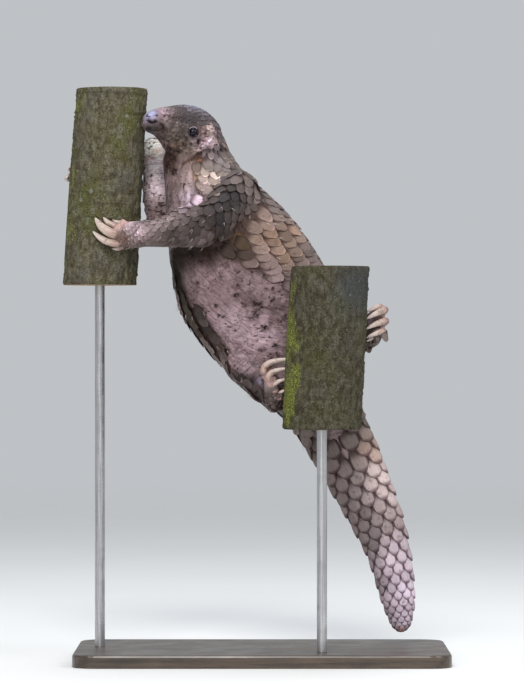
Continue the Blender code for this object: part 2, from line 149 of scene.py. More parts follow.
# The animal's lines. Body stations run from the head to the tail's tip: centre, turn of the
# underside from the viewer's direction towards the picture's left and half width of the bare
# underside in degrees, then the scales' column spacing, repeat, width in columns and coat depth.
BODY = (
    (-93.5, -1, 729.0, 90, 92, 6.0, 12, 1.90, 2.0),
    (-94.5, 1, 715.5, 90, 88, 6.8, 13.5, 1.90, 2.4),
    (-88.0, 4, 691.0, 90, 78, 7.6, 15.5, 1.90, 2.8),
    (-77.5, 8, 665.0, 90, 64, 8.6, 17.5, 1.90, 3.2),
    (-63.0, 10, 632.0, 88, 60, 10.0, 20, 1.90, 3.4),
    (-40.5, 14, 585.5, 78, 62, 10.8, 21, 1.90, 3.6),
    (-14.0, 26, 519.5, 38, 70, 11.6, 22, 1.90, 3.8),
    (18.0, 34, 461.5, 22, 68, 12.6, 23, 1.85, 4.0),
    (53.0, 40, 399.0, 10, 62, 13.5, 23, 1.75, 4.0),
    (86.0, 38, 346.5, 3, 38, 14.5, 29, 1.85, 4.2),
    (127.5, 34, 268.5, 0, 0, 16.5, 33, 1.90, 4.2),
    (162.0, 30, 195.5, 0, 0, 15.0, 32, 1.90, 3.8),
    (181.0, 26, 139.0, 0, 0, 12.7, 28, 1.90, 3.2),
    (191.5, 22, 82.5, 0, 0, 10.0, 19, 1.90, 2.4),
    (196.5, 20, 45.0, 0, 0, 6.0, 9.5, 1.90, 1.5),
)
TAIL_COLUMNS = 16
TAIL_EVEN_FROM = 9.3

# Head: its own upright plane, turned towards the viewer about this pivot.
HEAD_PIVOT = np.array((-0.060, 0.002, 0.735))
HEAD_TURN = math.radians(14)
HEAD_AXES = np.array(
    (
        (-math.cos(HEAD_TURN), -math.sin(HEAD_TURN), 0),
        (math.sin(HEAD_TURN), -math.cos(HEAD_TURN), 0),
        (0, 0, 1),
    )
)

# Limb pieces in millimetres: line from start to end, the side that faces out, column spacing at
# each end, coat depth at each end, half width of the bare inner side, and how far the scales
# droop from the line towards the ground at each end.
LIMBS = {
    "arm_left_upper": (
        (-24, -12, 670), (-66, -60, 611), (0.1, -1, 0.1), (9.5, 9.5), (3.2, 3.0), 45, (0.2, 0.5),
    ),
    "arm_left_fore": (
        (-66, -63, 608), (-166, -60, 595), (0, -1, -0.45), (7.5, 5.0), (2.8, 1.4), 62, (1.3, 0.25),
    ),
    "hand_left": (
        (-162, -60, 595), (-197, -51, 594), (0, -0.8, -0.6), (4.2, 3.0), (1.3, 0.8), 98, (0.1, 0),
    ),
    "arm_right_upper": ((-62, 36, 660), (-128, 70, 606), (0, 1, -0.2), (10, 9), (3.0, 2.6), 80, (0.4, 0.4)),
    "arm_right_fore": ((-136, 71, 598), (-150, 75, 724), (-0.3, 1, 0), (8, 5.5), (2.6, 1.4), 112, (0, 0)),
    "hand_right": ((-153, 75, 720), (-238, 71, 695), (0, 1, 0.5), (4.6, 3.2), (1.3, 0.8), 95, (0, 0)),
    "leg_left_thigh": ((98, 60, 392), (121, 12, 460), (1, 0.4, 0.2), (11, 9), (3.4, 2.8), 60, (0.3, 0.3)),
    "leg_left_shin": ((121, 10, 462), (119, -16, 418), (1, 0, -0.2), (8, 6.5), (2.4, 1.8), 70, (0, 0)),
    "foot_left": ((117, -15, 420), (155, -43, 464), (0.5, 0.8, -0.5), (5, 3.6), (1.3, 0.9), 85, (0, 0)),
    "leg_right_thigh": (
        (48, 20, 384), (-34, -19, 414), (-0.6, 0.35, -0.8), (11, 9), (3.2, 2.6), 92, (0, 0),
    ),
    "leg_right_shin": (
        (-33, -19, 413), (13, -43, 369), (-0.8, 0.45, -0.7), (8, 6.5), (2.4, 1.8), 102, (0, 0),
    ),
    "foot_right": ((17, -42, 362), (13, -66, 388), (-0.6, -0.5, -0.8), (5, 3.6), (1.3, 0.9), 85, (0, 0)),
}

# Claws in millimetres: where each leaves its toe, its tip, radius and bow away from the stem.
CLAWS = {
    "hand_left": (
        ((-193, -48, 611), (-207.5, -43.5, 614.5), 2.8, 2),
        ((-202, -51.5, 606), (-220, -42.8, 618), 3.6, 3),
        ((-201, -55, 593.5), (-231.5, -42.5, 617.5), 5.6, 7),
        ((-197, -51.5, 581.5), (-234.5, -42, 598.5), 4.4, 7),
        ((-192, -44, 579), (-208, -39, 575), 2.8, 2),
    ),
    "hand_right": (
        ((-229, 74, 717), (-244, 60, 716), 3.0, 3),
        ((-249, 64, 702), (-271.5, 20, 690), 4.0, 9),
        ((-252, 63, 692), (-273, 10, 677), 5.4, 11),
        ((-247, 66, 682), (-268, 32, 667), 4.4, 8),
        ((-232, 74, 677), (-248, 59, 669), 2.8, 3),
    ),
    "foot_left": (
        ((164, -46, 493.5), (145, -60, 487), 3.6, 4),
        ((170, -50, 489), (144, -64, 477), 4.8, 5),
        ((171, -51, 473.5), (143.5, -64, 463), 4.6, 5),
        ((168, -51, 459), (144, -64, 451), 4.0, 5),
        ((156, -47, 452), (145, -59, 446), 2.8, 3),
    ),
    "foot_right": (
        ((8.5, -58, 407), (38, -60, 416), 2.8, 5),
        ((4.5, -69, 399), (39, -66, 421.5), 5.0, 11),
        ((10, -74, 388.5), (37, -73, 408.5), 4.8, 8),
        ((18.5, -76, 378), (35, -78, 394), 3.8, 5),
        ((25, -73, 368), (34, -80, 379), 2.6, 3),
    ),
}
# Which way each foot's claws bow along the bark.
CLAW_SWEEP = {
    "hand_left": (-0.5, 0, -1),
    "hand_right": (0, 0, -1),
    "foot_left": (0.4, 0, 1),
    "foot_right": (-0.7, 0, 1),
}
STEM_OF = {"hand_left": "fore", "hand_right": "fore", "foot_left": "hind", "foot_right": "hind"}


# Meshes from arrays.
def new_piece(name, points, faces, material):
    mesh = bpy.data.meshes.new(name)
    mesh.from_pydata([tuple(p) for p in points], [], faces)
    mesh.materials.append(material)
    mesh.shade_smooth()
    piece = bpy.data.objects.new(name, mesh)
    bpy.context.scene.collection.objects.link(piece)
    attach(piece, "root")
    return piece


def keep_values(mesh, **values):
    """Stores numbers for each vertex, for the materials to read; a tint is a colour."""
    for name, numbers in values.items():
        flat = np.asarray(numbers, np.float32)
        kind, key = ("FLOAT", "value") if flat.ndim == 1 else ("FLOAT_VECTOR", "vector")
        if name == "tint":
            kind, key = "FLOAT_COLOR", "color"
            flat = np.column_stack((flat, np.ones(len(flat), np.float32)))
        mesh.attributes.new(name, kind, "POINT").data.foreach_set(key, flat.ravel())


def node_shape(name):
    """A CAD node's vertices and faces, with its split vertices joined."""
    bm = bmesh.new()
    bm.from_mesh(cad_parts[name].data)
    bmesh.ops.remove_doubles(bm, verts=bm.verts, dist=1e-5)
    bm.normal_update()
    points = np.array([v.co for v in bm.verts])
    normals = np.array([v.normal for v in bm.verts])
    faces = [[v.index for v in f.verts] for f in bm.faces]
    bm.free()
    return points, normals, faces


FLESH_KINDS = ("head", "ear", "neck", "trunk", "tail", "arm", "hand", "leg", "foot")
FLESH = sorted(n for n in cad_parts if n.split("_")[0] in FLESH_KINDS)
FILLED = [*FLESH, "eye_left", "eye_right"]
KINDS = np.array([name.split("_")[0] for name in FILLED])
HEAD_KINDS = ("head", "ear", "eye")
BODY_KINDS = ("neck", "trunk", "tail")
LIMB_KINDS = ("arm", "hand", "leg", "foot")


def solid_faces():
    """All flesh solids as one list of faces, with the node that each face is on."""
    points, grown, faces, owner = [], [], [], []
    start = 0
    for name in FILLED:
        p, n, f = node_shape(name)
        points.append(p)
        grown.append(p + n * OVERLAP)
        faces += [[start + k for k in face] for face in f]
        owner += [FILLED.index(name)] * len(f)
        start += len(p)
    return np.vstack(points), np.vstack(grown), faces, np.array(owner)


def remeshed(points, faces, cell):
    """One even mesh around overlapping closed shapes."""
    mesh = bpy.data.meshes.new("shell")
    mesh.from_pydata([tuple(p) for p in points], [], faces)
    obj = bpy.data.objects.new("shell", mesh)
    bpy.context.scene.collection.objects.link(obj)
    modifier = obj.modifiers.new("even", "REMESH")
    modifier.mode = "VOXEL"
    modifier.voxel_size = cell
    graph = bpy.context.evaluated_depsgraph_get()
    made = bpy.data.meshes.new_from_object(obj.evaluated_get(graph))
    bpy.data.objects.remove(obj)
    bpy.data.meshes.remove(mesh)
    return made


class Surface:
    """A mesh held as arrays, for moving its vertices by rules."""

    def __init__(self, mesh):
        self.take(mesh)

    def take(self, mesh):
        self.mesh = mesh
        self.co = np.empty(len(mesh.vertices) * 3)
        mesh.vertices.foreach_get("co", self.co)
        self.co = self.co.reshape(-1, 3)
        self.edges = np.empty(len(mesh.edges) * 2, np.int64)
        mesh.edges.foreach_get("vertices", self.edges)
        self.edges = self.edges.reshape(-1, 2)
        count = len(self.co)
        self.degree = np.bincount(self.edges.ravel(), minlength=count)

    def store(self):
        self.mesh.vertices.foreach_set("co", self.co.ravel())
        self.mesh.update()

    def normals(self):
        self.store()
        n = np.empty(len(self.co) * 3)
        self.mesh.vertices.foreach_get("normal", n)
        return n.reshape(-1, 3)

    def averaged(self, values):
        """The mean over each vertex's neighbours."""
        a, b = self.edges.T
        flat = values.reshape(len(values), -1)
        count = len(self.co)
        columns = []
        for column in flat.T:
            total = np.bincount(a, column[b], count) + np.bincount(b, column[a], count)
            columns.append(total / np.maximum(self.degree, 1))
        return np.column_stack(columns).reshape(values.shape)

    def relaxed(self, values, times, weight=1.0):
        """Values drawn towards their neighbours' mean this many times."""
        w = np.broadcast_to(weight, (len(values),))
        w = w[:, None] if values.ndim > 1 else w
        for _ in range(times):
            values = values + (self.averaged(values) - values) * 0.8 * w
        return values


def tree_of(surface):
    faces = [list(p.vertices) for p in surface.mesh.polygons]
    return BVHTree.FromPolygons([tuple(p) for p in surface.co], faces), faces


# Places on the body.
def body_row(t):
    """The body line's numbers at t; above the first station it runs on straight."""
    if t < 0:
        return np.array(BODY[0]) + np.subtract(BODY[1], BODY[0]) * t
    return spline(BODY, t)


def body_axes(t):
    """Centre, direction to the tail, and direction of the underside at station t."""
    centre = body_row(t)[:3] * MM
    along = unit(body_row(t + 0.05)[:3] - body_row(t - 0.05)[:3])
    turn = math.radians(body_row(t)[3])
    edge = unit(np.array((along[2], 0, -along[0])))
    under = np.array((0, -1.0, 0)) * math.cos(turn) + edge * math.sin(turn)
    under = unit(under - along * (under @ along))
    return centre, along, under


BODY_STEPS = np.linspace(0, len(BODY) - 1, 281)
BODY_FRAMES = [body_axes(t) for t in BODY_STEPS]
BODY_CENTRES = np.array([f[0] for f in BODY_FRAMES])
BODY_UNDERS = np.array([f[2] for f in BODY_FRAMES])
BODY_SIDES = np.array([np.cross(f[1], f[2]) for f in BODY_FRAMES])
BODY_HALF_BARE = np.array([body_row(t)[4] for t in BODY_STEPS])
BODY_TURNS = np.array([body_row(t)[3] for t in BODY_STEPS])


def nearest_station(points):
    index = np.empty(len(points), np.int64)
    for start in range(0, len(points), 20000):
        part = points[start : start + 20000]
        index[start : start + 20000] = ((part[:, None] - BODY_CENTRES) ** 2).sum(2).argmin(1)
    return index


def far_narrowing(t):
    """How much further round the far side's scales reach over the belly, in degrees."""
    return np.interp(t, (4.3, 5, 6, 7, 8, 9), (0, 50, 46, 22, 4, 0))


def round_body(points):
    """Each point's station number, distance to the body's far side and angle from the underside."""
    index = nearest_station(points)
    out = points - BODY_CENTRES[index]
    side = (out * BODY_SIDES[index]).sum(1)
    return index, side, np.degrees(np.arctan2(side, (out * BODY_UNDERS[index]).sum(1)))


def body_places(points):
    """Each point's station, its angle from the middle of the underside and the bare half angle there."""
    index, _, angle = round_body(points)
    station = BODY_STEPS[index]
    return station, angle, BODY_HALF_BARE[index] - far_narrowing(station) * (angle > 0)


def hidden_twins(points):
    """Points moved over to the body's other side, and how far the photograph hides each one."""
    index, side, angle = round_body(points)
    hidden = ease(angle - (90 - BODY_TURNS[index]), 8, 30)
    return points - 2 * side[:, None] * BODY_SIDES[index], hidden


def in_head(points):
    """Forward, left and up of each point in the head's own frame."""
    return (points - HEAD_PIVOT) @ HEAD_AXES.T


def kind_of(label):
    """The kind of body part that each face or vertex belongs to."""
    return KINDS[label]


def limb_line(name):
    """A limb piece's ends in metres, its direction and the direction of its outer side."""
    start, end, out = (np.array(v, float) for v in LIMBS[name][:3])
    along = unit(end - start)
    return start * MM, end * MM, along, unit(out - along * (out @ along))


def limb_cover(points, label):
    """How bare each point of a limb is, 0 outside to 1 inside, and the coat's full depth there."""
    bare, coat = np.zeros((2, len(points)))
    for name, (*_, depths, half, _) in LIMBS.items():
        here = label == FILLED.index(name)
        a, b, along, out = limb_line(name)
        away = points[here] - a
        reach = away @ along
        coat[here] = between(depths, np.clip(reach / np.linalg.norm(b - a), 0, 1)) * MM
        angle = np.degrees(np.arccos(np.clip(unit(away - reach[:, None] * along) @ out, -1, 1)))
        bare[here] = ease(angle, 180 - half - 8, 180 - half + 8)
    return bare, coat


# Bare toes: how far from a claw's root the skin is fully bare, and where the bare skin ends.
TOE_BARE, TOE_END = 0.009, 0.016


def toe_reach(points):
    """1 at the toes and claws, 0 beyond them."""
    reach = np.zeros(len(points))
    for rows in CLAWS.values():
        for start, *_ in rows:
            gap = np.linalg.norm(points - np.array(start) * MM, axis=1)
            reach = np.maximum(reach, ease(gap, TOE_END, TOE_BARE))
    return reach


# How far each kind of flesh is smoothed, and how far its shape may be moved under the coat.
SOFTNESS = {"trunk": 1.0, "neck": 0.8, "tail": 0.55, "ear": 0.15, "hand": 0.12, "foot": 0.12}
OTHER_SOFTNESS = 0.35
DEEPEST, HIGHEST = -0.008, 0.004


def make_skin_base():
    """The smooth skin, inside the solids by the coat's depth, and what each vertex is."""
    points, grown, faces, owner = solid_faces()
    skin = Surface(remeshed(grown, faces, CELL))
    solid = BVHTree.FromPolygons([tuple(p) for p in points], faces)

    def nearest(co):
        hits = [solid.find_nearest(p) for p in co]
        place = np.array([h[0] for h in hits])
        out = ((co - place) * np.array([h[1] for h in hits])).sum(1)
        return owner[[h[2] for h in hits]], np.sign(-out) * np.linalg.norm(co - place, axis=1)

    label, _ = nearest(skin.co)
    soft = np.array([SOFTNESS.get(kind, OTHER_SOFTNESS) for kind in KINDS])[label]
    tip = np.linalg.norm(skin.co - BODY_CENTRES[-1], axis=1)
    soft = np.where(kind_of(label) == "tail", soft * (0.2 + 0.8 * ease(tip, 0.02, 0.16)), soft)
    skin.co = skin.relaxed(skin.co, 45, skin.relaxed(soft, 6))

    label, depth = nearest(skin.co)
    kind = kind_of(label)
    on_body, on_limb = np.isin(kind, BODY_KINDS), np.isin(kind, LIMB_KINDS)
    station, angle, half = body_places(skin.co)
    coat = np.array([body_row(t)[8] for t in BODY_STEPS])[np.searchsorted(BODY_STEPS, station)] * MM
    belly = ease(np.abs(angle), half + 7, half - 7) * (half > 1)
    inside, limb_coat = limb_cover(skin.co, label)
    inside = np.maximum(inside, toe_reach(skin.co))
    bare = np.select([on_body, on_limb], [belly, inside], 1.0)
    forward, _, up = in_head(skin.co).T
    crown = ease(up, 0.012, 0.024) * ease(forward, 0.088, 0.070)
    crown = np.maximum(crown, ease(forward, 0.022, 0.010)) * (kind == "head")
    want = np.select([on_body, on_limb], [coat * (1 - bare), limb_coat * (1 - bare)], crown * 0.0011)
    want += np.where(on_body | on_limb, 0.0004 * bare, 0.0001)
    shift = skin.relaxed(np.clip(depth - want, DEEPEST, HIGHEST), 25)
    skin.co = skin.relaxed(skin.co + skin.normals() * shift[:, None], 3, 0.5)
    skin.store()
    return skin, label, bare


def split_head(skin, label, bare):
    """Gives the head finer faces, for folds, lids and nostrils."""
    bm = bmesh.new()
    bm.from_mesh(skin.mesh)
    layer = bm.verts.layers.int.new("label")
    cover = bm.verts.layers.float.new("bare")
    for v, value, b in zip(bm.verts, label, bare):
        v[layer] = int(value)
        v[cover] = float(b)
    fine = {number for number, kind in enumerate(KINDS) if kind in HEAD_KINDS}
    edges = [e for e in bm.edges if all(v[layer] in fine for v in e.verts)]
    bmesh.ops.subdivide_edges(bm, edges=edges, cuts=1, use_grid_fill=True, smooth=0.6)
    label = np.array([v[layer] for v in bm.verts])
    bare = np.array([v[cover] for v in bm.verts])
    mesh = bpy.data.meshes.new("skin")
    bm.to_mesh(mesh)
    bm.free()
    for name in ("label", "bare"):
        mesh.attributes.remove(mesh.attributes[name])
    bpy.data.meshes.remove(skin.mesh)
    skin.take(mesh)
    skin.co = skin.relaxed(skin.co, 4, np.isin(kind_of(label), HEAD_KINDS) * 0.6)
    return label, bare


SKIN, SKIN_LABEL, SKIN_BARE = make_skin_base()
SKIN_LABEL, SKIN_BARE = split_head(SKIN, SKIN_LABEL, SKIN_BARE)
SMOOTH_CO = SKIN.co.copy()
SMOOTH_TREE, _ = tree_of(SKIN)


def on_skin(px, py):
    """The point of the smooth skin that the photograph shows at this pixel."""
    x = (px - PICTURE_MIDDLE[0]) * PIXEL
    z = VIEWPOINT[2] + (PICTURE_MIDDLE[1] - py) * PIXEL
    aim = np.array((x, 0.0, z)) - VIEWPOINT
    hit = SMOOTH_TREE.ray_cast(VIEWPOINT, unit(aim))
    if hit[0] is None:
        hit = SMOOTH_TREE.find_nearest((x, 0.0, z))
    return np.array(hit[0])


def mirrored(points):
    """Points of the head's far side, brought over to its near side."""
    local = in_head(points)
    local[:, 1] = np.abs(local[:, 1])
    return local @ HEAD_AXES + HEAD_PIVOT


EYES = {side: np.array(sum(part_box(f"eye_{side}"), Vector()) / 2) for side in ("left", "right")}
EYE_RADIUS = float((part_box("eye_left")[1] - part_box("eye_left")[0]).z) / 2
# Half width and half height of the opening between the lids, and how far it lies above the middle.
LID_OPENING = (0.0053, 0.0058)
LID_RISE = 0.0002
# How far the skin behind the lids is sunk.
SOCKET_DEPTH = 0.0062


def eye_ring(forward, up):
    """How far out from an eye's middle, counted in half openings of the lids."""
    return np.hypot(forward / LID_OPENING[0], (up - LID_RISE) / LID_OPENING[1])


# Folds of the head as the photograph shows them: pixels, half width and height in millimetres.
HEAD_FOLDS = (
    (((147.6, 120.2), (149.8, 122.2), (152.6, 123), (155.6, 121.6)), 2.3, -3.4),
    (((146, 117.6), (150, 118), (154.6, 118.4), (158, 121)), 1.5, 0.8),
    (((145, 128.6), (151, 131), (158, 130.8), (164.6, 128.6)), 0.9, -0.9),
    (((145.5, 130.6), (151, 133.2), (158.5, 133.4)), 1.3, 0.5),
    (((160.4, 123.5), (163.4, 127.5), (163, 132)), 1.5, -0.9),
    (((206, 151.5), (200, 155), (191, 160), (182.5, 164)), 2, -2),
    (((210.5, 124), (213.5, 131), (212, 138), (207.5, 144), (200, 150), (190, 155.5)), 2.3, 1.7),
    (((206, 129), (206.5, 134), (204, 138.5), (200.5, 141)), 1.9, -1.3),
    (((198.4, 140.6), (198, 143.6)), 1.5, -2.8),
    (((169, 141), (176, 146), (184, 148), (191, 146.5)), 1.2, -0.6),
    (((171, 149), (178, 153), (186, 153.5)), 1.2, -0.7),
    (((186, 139.5), (191, 142), (196, 139.5)), 1.1, -0.6),
    (((199.5, 125), (201.5, 129), (200.5, 134)), 1.2, -0.6),
    (((166, 127), (170, 131), (170.5, 136)), 1.3, -0.5),
    (((168, 120), (173, 122.5), (179, 123.5)), 1.2, 0.5),
    (((182.5, 127), (184.5, 132), (184.5, 137)), 1.2, -0.5),
    (((166, 151), (170, 159), (169, 168)), 1.6, -0.9),
    (((172, 156), (177, 164), (174, 174)), 1.7, -0.9),
)
# The bare face ends along this line of pixels: over the brow, behind the eye, round the ear's
# ridge and down the throat.
FACE_EDGE = (
    (161, 104.5), (165, 111), (171, 116.5), (179, 121), (185, 122.5), (193, 121.5),
    (199, 123.5), (204, 124.5), (208, 121.5), (213, 122.5), (216, 129), (215, 138),
    (209.5, 145.5), (201, 152), (192, 157), (184, 163), (178, 173), (172, 186),
)
# Folds elsewhere: the elbow, the groin and the knee.
BODY_FOLDS = (
    (((182, 178), (190, 188), (193, 200)), 2.4, -0.8),
    (((176, 176), (182, 190), (186, 205)), 2.6, -0.9),
    (((205, 243), (228, 252), (256, 262), (286, 270)), 1.8, -0.9),
    (((206, 247), (230, 257), (260, 268)), 2, 0.6),
    (((219, 347), (236, 349), (256, 357)), 2.2, 1.1),
    (((222, 353), (238, 355), (254, 366)), 1.8, -1.1),
    (((230, 343), (246, 346), (262, 356)), 1.8, -0.9),
    (((176, 262), (182, 290), (192, 318), (208, 344)), 2.6, -0.8),
)


FACE = [tuple(in_head(on_skin(*p)[None])[0][[0, 2]]) for p in FACE_EDGE]
FACE += [(0.160, -0.090), (0.160, 0.060)]


def in_face(place):
    """True where the head and throat are bare."""
    forward, _, up = in_head(mirrored(place[None]))[0]
    inside = False
    for (fa, ua), (fb, ub) in zip(FACE, FACE[1:] + FACE[:1]):
        if (ua > up) != (ub > up) and forward < fa + (up - ua) / (ub - ua) * (fb - fa):
            inside = not inside
    return inside


def stripe(points, pixels, half):
    """A soft stripe along a line of pixels, with its half width in millimetres."""
    return bell(to_line(points, [on_skin(*p) for p in pixels]), 0, half * MM)


def fold_heights(points, folds):
    """How far each fold lifts or sinks each point."""
    return sum(lift * MM * stripe(points, pixels, half) for pixels, half, lift in folds)


def shape_lids(co, kind):
    """Opens the skin over each eyeball and rolls a lid round it."""
    for side, sign in (("left", 1), ("right", -1)):
        away = (co - EYES[side]) @ HEAD_AXES.T
        away[:, 1] *= sign
        near = np.isin(kind, HEAD_KINDS) & (np.linalg.norm(away, axis=1) < 0.020) & (away[:, 1] > -0.004)
        forward, out, up = away[near].T
        opening = eye_ring(forward, up)
        ball = np.sqrt(np.maximum((EYE_RADIUS + 0.0007) ** 2 - forward**2 - up**2, 0))
        lid, bag = bell(opening, 1.18, 0.17), bell(opening, 1.62, 0.16)
        crease = bell(opening, 1.46, 0.10) * (0.6 + 0.4 * ease(up, -0.001, 0.003))
        # The lid's edge is drawn in against the ball, so that no gap shows
        rim = np.maximum(out, ball * ease(opening, 1.5, 1.1))
        raised = rim + 0.0009 * lid - 0.0007 * crease + 0.0005 * bag
        sunk = out - SOCKET_DEPTH
        away[near, 1] = raised + (sunk - raised) * ease(opening, 1.06, 0.86)
        away[:, 1] *= sign
        co[near] = (away[near] @ HEAD_AXES) + EYES[side]
    return co


def wrinkle_heights(points, label, bare):
    """Fine folds of bare skin, finer on the head, running across the belly."""
    kind = kind_of(label)
    station, angle, _ = body_places(points)
    warp = layered(points, 0.03, 3)
    turned = np.radians(angle) * 0.06
    flow = np.column_stack((station * 0.055 + warp * 0.010, turned * 0.22, points[:, 1] * 0.1))
    across = 1 - np.abs(lumps(flow, 0.0042, 5))
    slant = (station * 0.055 + turned * 0.5 + warp * 0.006, turned * 0.2, points[:, 2] * 0.1)
    oblique = 1 - np.abs(lumps(np.column_stack(slant), 0.0065, 6))
    trunk = np.isin(kind, ("trunk", "neck")) * bare
    height = trunk * (0.00030 * (across**3 - 0.4) + 0.00024 * (oblique**4 - 0.3))
    head = np.isin(kind, ("head", "ear"))
    muzzle = ease(in_head(points)[:, 0], 0.080, 0.096)
    cheek = 0.00022 * layered(points, 0.0034, 8) - 0.00020 * (1 - np.abs(lumps(points, 0.006, 9))) ** 4
    height += head * (1 - muzzle) * cheek
    height += head * muzzle * 0.00006 * lumps(points, 0.0016, 10)
    return height + np.isin(kind, LIMB_KINDS) * bare * 0.00020 * layered(points, 0.0040, 12)


def sculpt_skin():
    co = SKIN.co
    kind = kind_of(SKIN_LABEL)
    near_side = mirrored(co)
    lift = fold_heights(co, BODY_FOLDS) * np.isin(kind, ("trunk", "leg", "neck"))
    is_head = np.isin(kind, (*HEAD_KINDS, "neck"))
    lift[is_head] += fold_heights(near_side[is_head], HEAD_FOLDS)
    lift += wrinkle_heights(co, SKIN_LABEL, SKIN_BARE)
    SKIN.co = shape_lids(co + SKIN.normals() * lift[:, None], kind)
    SKIN.store()


sculpt_skin()
SKIN_TREE, SKIN_FACES = tree_of(SKIN)
SKIN_NORMALS = SKIN.normals()


# Colours, as display values from 0 to 255. Each wash is a soft patch of colour about a pixel of the
# photograph, on whatever part of the animal shows there: pixel, radius in pixels, colour and
# strength. The same washes tint skin and scales.
SKIN_BASE = (138, 118, 120)
# Painted shade: skin under the scales is darkened so that the gaps between scales read as shadow
SHADE_UNDER_SCALES = (70, 56, 50)
TOE_COLOUR = (186, 152, 142)
SCALE_BASE = (104, 94, 90)
SCALE_ON_HEAD = (92, 84, 86)
HEAD_WASHES = (
    (180, 135, 26, (90, 80, 74), 1.0),
    (184, 118, 15, (56, 51, 54), 0.95),
    (200, 117, 10, (72, 66, 68), 0.9),
    # Painted reflection: a pale blue sheen of the sky along the crown
    (183, 104, 8, (196, 210, 246), 0.95),
    (194, 103, 8, (196, 210, 246), 0.95),
    (206, 107, 7, (158, 163, 188), 0.9),
    (188, 109, 4, (120, 116, 126), 0.6),
    (201, 111, 4, (112, 108, 118), 0.6),
    (212, 120, 6, (92, 88, 92), 0.7),
    (163, 113, 6, (160, 136, 144), 0.9),
    (164, 121, 5, (112, 98, 98), 0.8),
    # Painted highlight on top of the nose
    (150, 114, 6.5, (168, 170, 206), 1.0),
    (148, 120, 4, (120, 116, 138), 0.6),
    (149, 128.5, 6, (34, 31, 34), 1.0),
    (157, 129, 6, (44, 39, 40), 0.95),
    (163, 130, 5, (58, 50, 48), 0.8),
    (160, 138, 7, (62, 53, 50), 0.8),
    (171, 128, 7, (84, 74, 70), 0.7),
    (186, 143, 6, (84, 76, 70), 0.7),
    (178, 148, 8, (118, 106, 92), 0.7),
    (187, 151, 5, (134, 118, 112), 0.7),
    (197, 139, 4, (124, 108, 118), 0.8),
    (203, 134, 5, (116, 92, 90), 0.8),
    (209, 127, 4, (164, 148, 146), 0.75),
    (209, 142, 5, (184, 164, 172), 0.9),
    (200, 149, 4, (158, 136, 138), 0.8),
    (190, 154, 5, (82, 68, 62), 0.85),
    (205, 153, 3, (92, 58, 44), 0.9),
    (195, 158, 3, (96, 68, 54), 0.85),
    # Dark throat: partly mud, partly painted shade under the jaw
    (172, 158, 9, (28, 18, 13), 0.97),
    (166, 153, 6, (44, 34, 28), 0.9),
    (172, 168, 7, (54, 42, 36), 0.85),
    (184, 166, 7, (132, 114, 106), 0.8),
)
